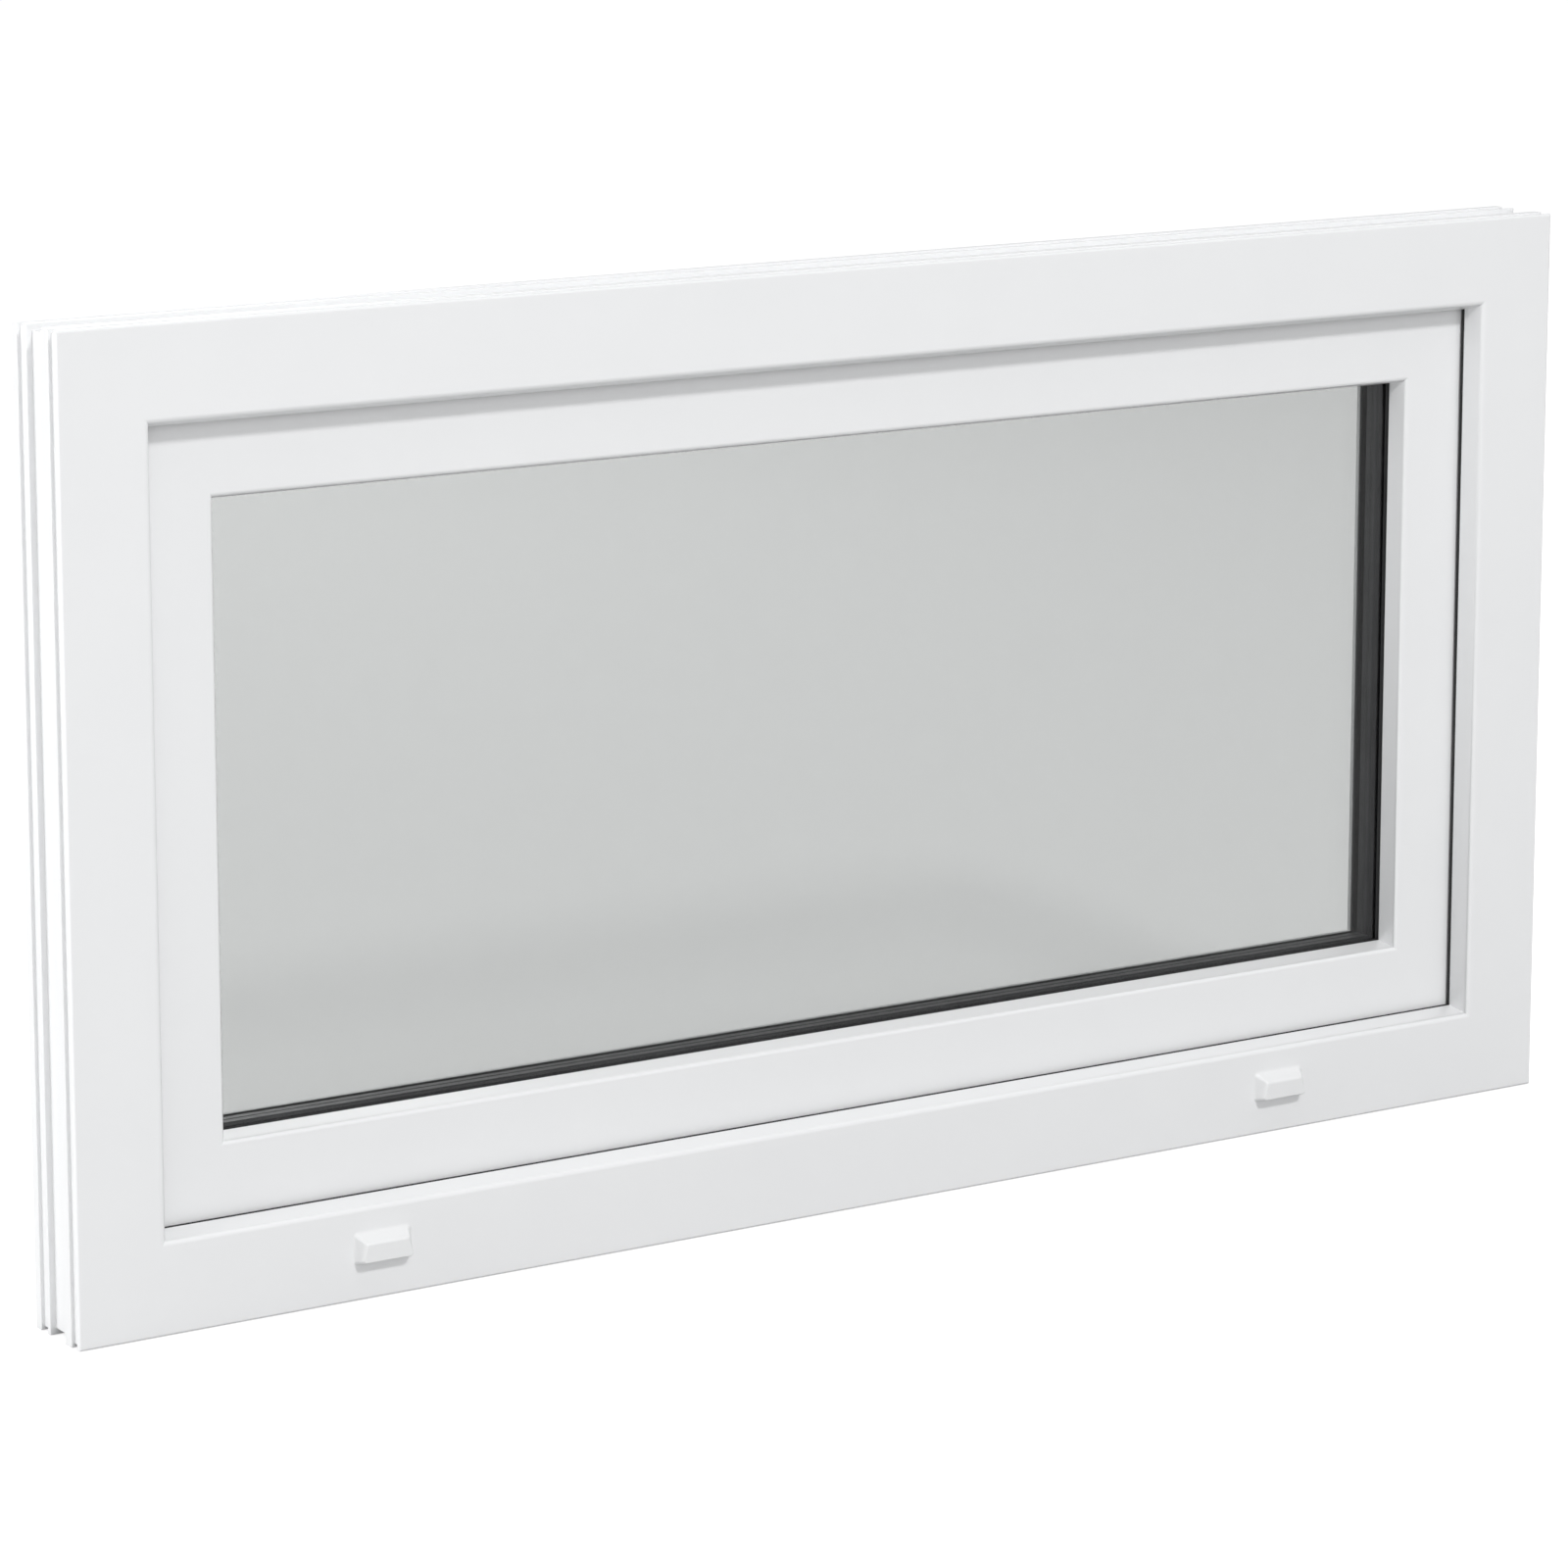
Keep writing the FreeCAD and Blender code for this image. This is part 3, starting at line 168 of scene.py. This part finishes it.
def stretched(tree, stretch):
    """Object coordinates scaled along each axis, so that a noise read there runs in lines."""
    coordinates = add(tree, "ShaderNodeTexCoord").outputs["Object"]
    return add(tree, "ShaderNodeMapping", {"Vector": coordinates, "Scale": stretch}).outputs["Vector"]


def surface(name, tones, rough, stretch=(1, 1, 1), grain=2500, relief=0.05, cloud=14, metallic=0.0, cells=0,
            specular=0.5, coat=0.0):
    """Plastic, rubber or metal: two clouded tones, roughness from fine grain, and relief along the lines."""
    made, tree, output = new_material(name)
    plain = stretched(tree, (1, 1, 1))
    lines = stretched(tree, stretch)
    fine = noise(tree, lines, grain, detail=4)
    colour = blend_colours(tree, spread(tree, noise(tree, plain, cloud), 0, 1), *tones)
    if cells:
        spangle = add(tree, "ShaderNodeTexVoronoi", {"Vector": plain, "Scale": cells}).outputs["Color"]
        grey = add(tree, "ShaderNodeRGBToBW", {"Color": spangle}).outputs["Val"]
        colour = blend_colours(tree, spread(tree, grey, 0, 0.6, start=0.2, end=0.8), colour,
                               tones[1])
    fleck = noise(tree, plain, cloud * FLECKS_PER_CLOUD, detail=2)
    uneven = add(tree, "ShaderNodeMath", {0: fine, 1: fleck}, operation="MULTIPLY").outputs[0]
    swell = noise(tree, plain, UNEVEN_SCALE, detail=2)
    height = add(tree, "ShaderNodeMath", {0: fine, 1: swell}, operation="ADD").outputs[0]
    bump = add(tree, "ShaderNodeBump", {"Height": height, "Strength": relief, "Distance": RELIEF_DEPTH})
    shader = add(tree, "ShaderNodeBsdfPrincipled", {
        "Base Color": colour, "Roughness": spread(tree, uneven, *rough, start=0.1, end=0.5),
        "Normal": bump.outputs["Normal"], "Metallic": metallic, "Specular IOR Level": specular,
        "Coat Weight": coat, "Coat Roughness": COAT_ROUGHNESS})
    tree.links.new(shader.outputs["BSDF"], output.inputs["Surface"])
    return made


def glass(name, tint):
    """Float glass: see-through with a faint tint, and gloss that grows towards grazing angles."""
    made, tree, output = new_material(name)
    facing = add(tree, "ShaderNodeLayerWeight", {"Blend": 0.5}).outputs["Facing"]
    steep = add(tree, "ShaderNodeMath", {0: facing, 1: GLOSS_POWER}, operation="POWER").outputs[0]
    gloss = spread(tree, steep, GLOSS_STRAIGHT, GLOSS_GRAZING, start=0, end=1)
    place = stretched(tree, (1, 1, 1))
    smear = spread(tree, noise(tree, place, SMEAR_SCALE, detail=4), 0.0, SMEAR_ROUGHNESS)
    clear = add(tree, "ShaderNodeBsdfTransparent", {"Color": (*tint, 1)})
    shine = add(tree, "ShaderNodeBsdfGlossy", {"Color": (1, 1, 1, 1), "Roughness": smear})
    mixed = add(tree, "ShaderNodeMixShader", {0: gloss, 1: clear.outputs[0], 2: shine.outputs[0]})
    tree.links.new(mixed.outputs[0], output.inputs["Surface"])
    return made


WHITE = ((0.808, 0.813, 0.820), (0.818, 0.823, 0.829))
COVER_WHITE = ((0.790, 0.795, 0.800), (0.815, 0.820, 0.824))
POWDER_WHITE = ((0.800, 0.800, 0.795), (0.825, 0.825, 0.820))
BLACK = ((0.010, 0.010, 0.011), (0.022, 0.022, 0.023))
ZINC = ((0.50, 0.51, 0.53), (0.66, 0.67, 0.69))
ACROSS, UPRIGHT = (0.02, 1, 1), (1, 1, 0.02)
EXTRUDED = {"grain": 500, "relief": 0.005, "coat": 0.1}

MATERIALS = {
    "frame_across": surface("upvc_frame_across", WHITE, (0.29, 0.35), ACROSS, **EXTRUDED),
    "frame_upright": surface("upvc_frame_upright", WHITE, (0.29, 0.35), UPRIGHT, **EXTRUDED),
    "sash_across": surface("upvc_sash_across", WHITE, (0.28, 0.34), ACROSS, **EXTRUDED),
    "sash_upright": surface("upvc_sash_upright", WHITE, (0.28, 0.34), UPRIGHT, **EXTRUDED),
    "bead_across": surface("upvc_bead_across", WHITE, (0.30, 0.37), ACROSS, **EXTRUDED),
    "bead_upright": surface("upvc_bead_upright", WHITE, (0.30, 0.37), UPRIGHT, **EXTRUDED),
    "drain_cap_white": surface("moulded_cap", COVER_WHITE, (0.30, 0.46), grain=1600, relief=0.10),
    "white_cover": surface("moulded_cover", COVER_WHITE, (0.34, 0.50), grain=1700, relief=0.12),
    "rosette_plastic": surface("rosette_nylon", COVER_WHITE, (0.35, 0.52), grain=1700, relief=0.14),
    "white_handle": surface("powder_coat", POWDER_WHITE, (0.28, 0.44), grain=1200, relief=0.22, coat=0.2),
    "black_seal": surface("seal_rubber", BLACK, (0.50, 0.74), grain=1500, relief=0.30, specular=0.35),
    "black_sealant": surface("polysulphide", BLACK, (0.60, 0.85), grain=420, relief=0.60, specular=0.3),
    "grey_spacer": surface("spacer_strip", ((0.050, 0.050, 0.053), (0.085, 0.085, 0.090)), (0.28, 0.48),
                           grain=1400, relief=0.12, metallic=0.55),
    "block_plastic": surface("setting_block", ((0.03, 0.10, 0.20), (0.04, 0.13, 0.25)), (0.45, 0.6),
                             relief=0.2),
    "galvanised_steel": surface("galvanised_steel", ((0.42, 0.43, 0.45), (0.68, 0.69, 0.71)), (0.30, 0.55),
                                grain=700, relief=0.10, metallic=1.0, cells=130),
    "zinc_hardware": surface("zinc_plate", ZINC, (0.22, 0.42), (1, 1, 0.06), grain=1500, relief=0.14,
                             metallic=1.0),
    "screw_steel": surface("screw_steel", ((0.55, 0.55, 0.56), (0.70, 0.70, 0.71)), (0.20, 0.40), grain=2400,
                           relief=0.16, metallic=1.0),
    "clear_glass": glass("float_glass", (0.823, 0.827, 0.825)),
}


# ---------------------------------------------------------------- mesh tools

def rounded(section, steps=4):
    """Replaces each corner of a section by an arc of its radius. Returns (depth, inset) pairs in metres."""
    points = []
    for index, (depth, inset, radius) in enumerate(section):
        here = Vector((depth, inset)) * MM
        if not radius:
            points.append(here)
            continue
        before = (Vector(section[index - 1][:2]) * MM - here).normalized()
        after = (Vector(section[(index + 1) % len(section)][:2]) * MM - here).normalized()
        half = before.angle(after) / 2
        centre = here + (before + after).normalized() * (radius * MM / math.sin(half))
        reach = radius * MM / math.tan(half)
        for step in range(steps + 1):
            on_chord = (here + before * reach).lerp(here + after * reach, step / steps)
            points.append(centre + (on_chord - centre).normalized() * radius * MM)
    return points


def at_corner(point, corner):
    """Where a section point lies on the mitre of a window corner."""
    depth, inset = point
    x = LEFT + inset if corner[0] < 0 else RIGHT - inset
    z = BOTTOM + inset if corner[1] < 0 else TOP - inset
    return Vector((x, FRONT + depth, z))


def make_piece(name, mesh, body, material, replaces):
    """Wraps a mesh in a smooth-shaded object that rides on a body and stands for CAD nodes."""
    piece = bpy.data.objects.new(name, mesh)
    bpy.context.scene.collection.objects.link(piece)
    mesh.materials.append(MATERIALS[material])
    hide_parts(*replaces)
    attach(piece, body)
    flatten = piece.modifiers.new("even_normals", "WEIGHTED_NORMAL")
    flatten.keep_sharp = True


def mesh_of(name, build, sharp=math.radians(50)):
    """Builds a mesh with bmesh, turns its faces outwards and marks its sharp edges."""
    made = bmesh.new()
    build(made)
    bmesh.ops.recalc_face_normals(made, faces=made.faces)
    for face in made.faces:
        face.smooth = True
    for edge in made.edges:
        edge.smooth = len(edge.link_faces) == 2 and edge.calc_face_angle(0) < sharp
    mesh = bpy.data.meshes.new(name)
    made.to_mesh(mesh)
    made.free()
    return mesh


def skin(made, rows, closed=False, capped=True):
    """Faces between rows of equal numbers of points; closed joins the last row to the first."""
    rows = [[made.verts.new(point) for point in row] for row in rows]
    pairs = list(zip(rows, rows[1:])) + ([(rows[-1], rows[0])] if closed else [])
    for low, high in pairs:
        for index in range(len(low)):
            made.faces.new((low[index - 1], low[index], high[index], high[index - 1]))
    if capped and not closed:
        made.faces.new(rows[0])
        made.faces.new(rows[-1])
    return rows


def bars(section, part, names, body):
    """Four mitred bars of one section, each standing for its CAD bar."""
    outline = rounded(section)
    for side, node in names.items():
        ends = [[at_corner(point, corner) for point in outline] for corner in SIDES[side]]
        way = "across" if side in ("sill", "head") else "upright"
        mesh = mesh_of(node + "_skin", lambda made: skin(made, ends))
        make_piece(node + "_skin", mesh, body, "%s_%s" % (part, way), [node])


def ring(section, node, slot, body):
    """One closed ring of a section round the window."""
    outline = rounded(section, 3)
    rows = [[at_corner(point, corner) for point in outline] for corner in CORNERS]
    mesh = mesh_of(node + "_skin", lambda made: skin(made, rows, closed=True))
    make_piece(node + "_skin", mesh, body, slot, [node])


# ---------------------------------------------------------------- profiles and seals

bars(FRAME_SECTION, "frame", {side: "frame_" + side for side in SIDES}, "frame")
bars(SASH_SECTION, "sash", {"sill": "sash_bottom_rail", "head": "sash_top_rail",
                            "hinge_jamb": "sash_hinge_stile", "lock_jamb": "sash_lock_stile"},
     "sash")
bars(BEAD_SECTION, "bead", {"sill": "glazing_bead_bottom", "head": "glazing_bead_top",
                            "hinge_jamb": "glazing_bead_hinge_side", "lock_jamb": "glazing_bead_lock_side"},
     "sash")
ring(FRAME_SEAL_SECTION, "frame_gasket", "black_seal", "frame")
ring(OUTER_SEAL_SECTION, "glazing_gasket_outer", "black_seal", "sash")
ring(INNER_SEAL_SECTION, "glazing_gasket_inner", "black_seal", "sash")
ring(SPACER_SECTION, "spacer_bar", "grey_spacer", "sash")


# ---------------------------------------------------------------- drainage hoods

# How far in millimetres the hood's flat face lies inside its foot: below, above, and at the sides' lower
# and upper ends.
FLAT_BELOW, FLAT_ABOVE, FLAT_SIDE_LOW, FLAT_SIDE_HIGH = 3.2, 7.4, 3, 6.5
# Corner radius of the foot in millimetres, and how much smaller it is at the flat face.
HOOD_RADIUS, HOOD_RADIUS_LOSS = 2.4, 0.8
# The slope, hollow at its foot and rounded at its top, as (share of the rise, share of the way from the
# foot's outline to the flat face's).
HOOD_SLOPE = [(0.0, 0.0), (0.015, 0.09), (0.06, 0.20), (0.17, 0.34), (0.38, 0.48), (0.64, 0.61),
              (0.84, 0.74), (0.95, 0.87), (0.99, 0.96), (1.0, 1.04)]


def rounded_loop(corners, radius):
    """Loop of (x, z) points with rounded corners, all in metres."""
    return rounded([(x / MM, z / MM, radius / MM) for x, z in corners])


def trapezium(low, high, half_low, half_high, centre):
    """Corners (x, z) of an upright trapezium, from its lower left round by its lower right."""
    return [(centre - half_low, low), (centre + half_low, low), (centre + half_high, high),
            (centre - half_high, high)]


def hood(made, low, high):
    """A hood with sloped, softly rounded sides, hollow behind."""
    centre = (low.x + high.x) / 2
    base_half = (high.x - low.x) / 2
    rise = high.y - low.y
    flat = trapezium(low.z + FLAT_BELOW * MM, high.z - FLAT_ABOVE * MM, base_half - FLAT_SIDE_LOW * MM,
                     base_half - FLAT_SIDE_HIGH * MM, centre)
    foot = trapezium(low.z, high.z, base_half, base_half, centre)
    rows = []
    for height, share in HOOD_SLOPE:
        corners = [(a[0] + (b[0] - a[0]) * share, a[1] + (b[1] - a[1]) * share) for a, b in zip(foot, flat)]
        loop = rounded_loop(corners, (HOOD_RADIUS - HOOD_RADIUS_LOSS * share) * MM)
        rows.append([(x, high.y - rise * height, z) for x, z in loop])
    front = skin(made, rows, capped=False)[-1]
    made.faces.new(front)


for side in ("hinge_side", "lock_side"):
    node = "drain_cap_" + side
    low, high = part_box(node)
    mesh = mesh_of(node + "_hood", lambda made: hood(made, low, high), sharp=math.radians(60))
    make_piece(node + "_hood", mesh, "frame", "drain_cap_white", [node])


# ---------------------------------------------------------------- handle

# Powers of the rings' outlines, for an ellipse and for a rounded box, and how many points a ring has.
ROUND, BOXY = 2.0, 5.0
RING_POINTS = 32
# Rosette cap: (share of its depth, inset in millimetres).
ROSETTE_CROWN = ((0, 0), (0.55, 0.2), (0.80, 0.7), (0.92, 1.5), (0.98, 2.8), (1.0, 4.6))
# Lever from its lower end to its upper end, as shares of its height, its width and its thickness.
LEVER_TAPER = ((0, 0.30, 0.35), (0.012, 0.62, 0.66), (0.04, 0.86, 0.88), (0.10, 0.98, 0.98),
               (0.22, 1.0, 1.0), (0.45, 0.93, 0.94), (0.72, 0.84, 0.88), (0.92, 0.80, 0.84),
               (0.965, 0.74, 0.78), (0.99, 0.56, 0.60), (1.0, 0.28, 0.32))
# Half its thickness in millimetres, the points round its section, and the powers that fill out its corners.
LEVER_HALF_THICK = 6.5
LEVER_POINTS = 24
LEVER_WIDTH_POWER, LEVER_THICK_POWER = 0.62, 0.72
# Neck rings as (distance, radius) in millimetres, first from the rosette, then from the lever's room side.
NECK_AT_ROSETTE = ((0, 9.3), (1.0, 9.5), (5, 9.2), (14, 8.2))
NECK_AT_LEVER = ((17, 8.1), (13, 8.8), (10, 9.5))


def superellipse(centre, half_x, half_z, power):
    """Ring of points round an axis along Y, from an ellipse to a rounded box as the power grows."""
    points = []
    for index in range(RING_POINTS):
        turn = 2 * math.pi * index / RING_POINTS
        cosine, sine = math.cos(turn), math.sin(turn)
        points.append((centre.x + half_x * math.copysign(abs(cosine) ** (2 / power), cosine), centre.y,
                       centre.z + half_z * math.copysign(abs(sine) ** (2 / power), sine)))
    return points


def rosette(made, low, high):
    """Oblong cover with a crowned face and a soft rim."""
    middle = (low + high) / 2
    half = (high - low) / 2
    rows = []
    for depth, inward in ROSETTE_CROWN:
        centre = Vector((middle.x, low.y + (high.y - low.y) * depth, middle.z))
        rows.append(superellipse(centre, half.x - inward * MM, half.z - inward * MM, BOXY))
    skin(made, rows)


def grip(made, low, high, pivot_z):
    """Lever with a full, tapering section, joined by a flared neck to the spindle."""
    middle_x = (low.x + high.x) / 2
    back = high.y
    half_width = (high.x - low.x) / 2
    rows = []
    centre_y = back - LEVER_HALF_THICK * MM
    for share, width, thick in LEVER_TAPER:
        z = low.z + (high.z - low.z) * share
        half_thick = LEVER_HALF_THICK * MM * thick
        row = []
        for index in range(LEVER_POINTS):
            turn = 2 * math.pi * index / LEVER_POINTS
            cosine, sine = math.cos(turn), math.sin(turn)
            across = math.copysign(abs(cosine) ** LEVER_WIDTH_POWER, cosine)
            along = math.copysign(abs(sine) ** LEVER_THICK_POWER, sine)
            row.append((middle_x + half_width * width * across, centre_y + half_thick * along, z))
        rows.append(row)
    skin(made, rows)
    places = [(low.y + away * MM, radius) for away, radius in NECK_AT_ROSETTE]
    places += [(back - away * MM, radius) for away, radius in NECK_AT_LEVER]
    skin(made, [superellipse(Vector((middle_x, y, pivot_z)), radius * MM, radius * MM, ROUND)
                for y, radius in places])


low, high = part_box("rosette_cover")
mesh = mesh_of("rosette_shell", lambda made: rosette(made, low, high), sharp=math.radians(60))
make_piece("rosette_shell", mesh, "sash", "white_cover", ["rosette_cover"])
pivot = (low.z + high.z) / 2
low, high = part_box("handle_grip")
mesh = mesh_of("handle_lever", lambda made: grip(made, low, high, pivot), sharp=math.radians(70))
make_piece("handle_lever", mesh, "handle", "white_handle", ["handle_grip"])


# ---------------------------------------------------------------- hardware kept from the CAD model

# Bevel width in millimetres for each kept node's slot; the glass has ground edges.
BEVELS = {"zinc_hardware": 0.35, "galvanised_steel": 0.2, "screw_steel": 0.25, "white_cover": 0.6,
          "rosette_plastic": 0.4, "black_seal": 0.3, "black_sealant": 0.2, "block_plastic": 0.5,
          "clear_glass": 0.4}
# Points closer than this, in metres, are joined first. Edges that turn by more than this angle are bevelled.
WELD_DISTANCE = 0.00001
SHARP_FROM = math.radians(40)


def soften(piece, width):
    """Rounds a CAD node's edges with modifiers, which leave its mesh alone."""
    join = piece.modifiers.new("join", "WELD")
    join.merge_threshold = WELD_DISTANCE
    bevel = piece.modifiers.new("round_edges", "BEVEL")
    bevel.width = width * MM
    bevel.segments = 2
    bevel.limit_method = "ANGLE"
    bevel.angle_limit = SHARP_FROM
    bevel.harden_normals = True


for part in frame["record"]["subparts"]:
    piece = frame["nodes"][part["node"]]
    finish = part["material_slot"]
    if finish in BEVELS and not piece.hide_render:
        for slot in piece.material_slots:
            slot.material = MATERIALS[finish]
        soften(piece, BEVELS[finish])


# ---------------------------------------------------------------- floor, light and camera

FLOOR_HALF = 30
FLOOR_GAP = 0.5 * MM
FLOOR_GREY = (0.50, 0.50, 0.50, 1)
# Glow that only the camera sees: it makes the ground white and doesn't light the window from below.
FLOOR_GLOW = 0.76
SKY_COLOUR, SKY_STRENGTH = (0.99, 0.995, 1.0), 0.5

# Square lights that look at the middle of the outside face: name, place and side in metres, power in watts.
MIDDLE = (0, 0, 0.3)
LIGHTS = [
    ("key", (0.2, -4.2, 4.2), 0.6, 140),
    ("fill", (-1.8, -5.2, 1.2), 3.6, 66),
    ("overhead", (0.2, -0.4, 3.2), 2.4, 6),
    ("left", (-3.2, 0.6, 1.0), 2.2, 69),
    ("back", (0.6, 3.6, 2.4), 1.8, 70),
]

# Camera: place in metres, and angles in degrees below the horizon and to the right of +Y.
CAMERA_PLACE = (-1.9231, -2.8773, 1.0182)
LOOKS_DOWN, LOOKS_RIGHT = 10.535, 32.917
# Lens and film width in millimetres, shift as a share of the film's width, and far clipping in metres.
LENS, FILM_WIDTH, SHIFT_Y = 129.7, 36, -0.1
FAR_CLIP = 100


def floor():
    """A wide pale floor."""
    made = bmesh.new()
    bmesh.ops.create_grid(made, x_segments=1, y_segments=1, size=FLOOR_HALF)
    mesh = bpy.data.meshes.new("floor")
    made.to_mesh(mesh)
    made.free()
    mesh.transform(Matrix.Translation((0, 0, BOTTOM - FLOOR_GAP)))
    piece = bpy.data.objects.new("floor", mesh)
    bpy.context.scene.collection.objects.link(piece)
    shading, tree, output = new_material("pale_floor")
    seen = add(tree, "ShaderNodeLightPath").outputs["Is Camera Ray"]
    lift = add(tree, "ShaderNodeMath", {0: seen, 1: FLOOR_GLOW}, operation="MULTIPLY").outputs[0]
    pale = add(tree, "ShaderNodeBsdfPrincipled", {"Base Color": FLOOR_GREY, "Roughness": 0.9,
                                                  "Specular IOR Level": 0.0, "Emission Color": (1, 1, 1, 1),
                                                  "Emission Strength": lift})
    tree.links.new(pale.outputs["BSDF"], output.inputs["Surface"])
    mesh.materials.append(shading)


def area_light(name, place, size, power):
    """A square soft light that looks at the middle of the outside face."""
    data = bpy.data.lights.new(name, "AREA")
    data.size = size
    data.energy = power
    light = bpy.data.objects.new(name, data)
    light.location = place
    light.rotation_euler = (Vector(MIDDLE) - Vector(place)).to_track_quat("-Z", "Y").to_euler()
    bpy.context.scene.collection.objects.link(light)


def world():
    """An even studio sky."""
    made = bpy.data.worlds.new("studio")
    made.use_nodes = True
    background = made.node_tree.nodes["Background"]
    background.inputs["Color"].default_value = (*SKY_COLOUR, 1)
    background.inputs["Strength"].default_value = SKY_STRENGTH
    bpy.context.scene.world = made


def camera():
    """A long lens at the left and above, pitched down with a small shift."""
    data = bpy.data.cameras.new("camera")
    data.lens = LENS
    data.sensor_width = FILM_WIDTH
    data.shift_y = SHIFT_Y
    data.clip_end = FAR_CLIP
    made = bpy.data.objects.new("camera", data)
    made.location = CAMERA_PLACE
    made.rotation_euler = (math.radians(90 - LOOKS_DOWN), 0, math.radians(-LOOKS_RIGHT))
    bpy.context.scene.collection.objects.link(made)
    bpy.context.scene.camera = made


floor()
world()
for name, place, size, power in LIGHTS:
    area_light(name, place, size, power)
camera()
bpy.context.scene.view_settings.view_transform = "Standard"
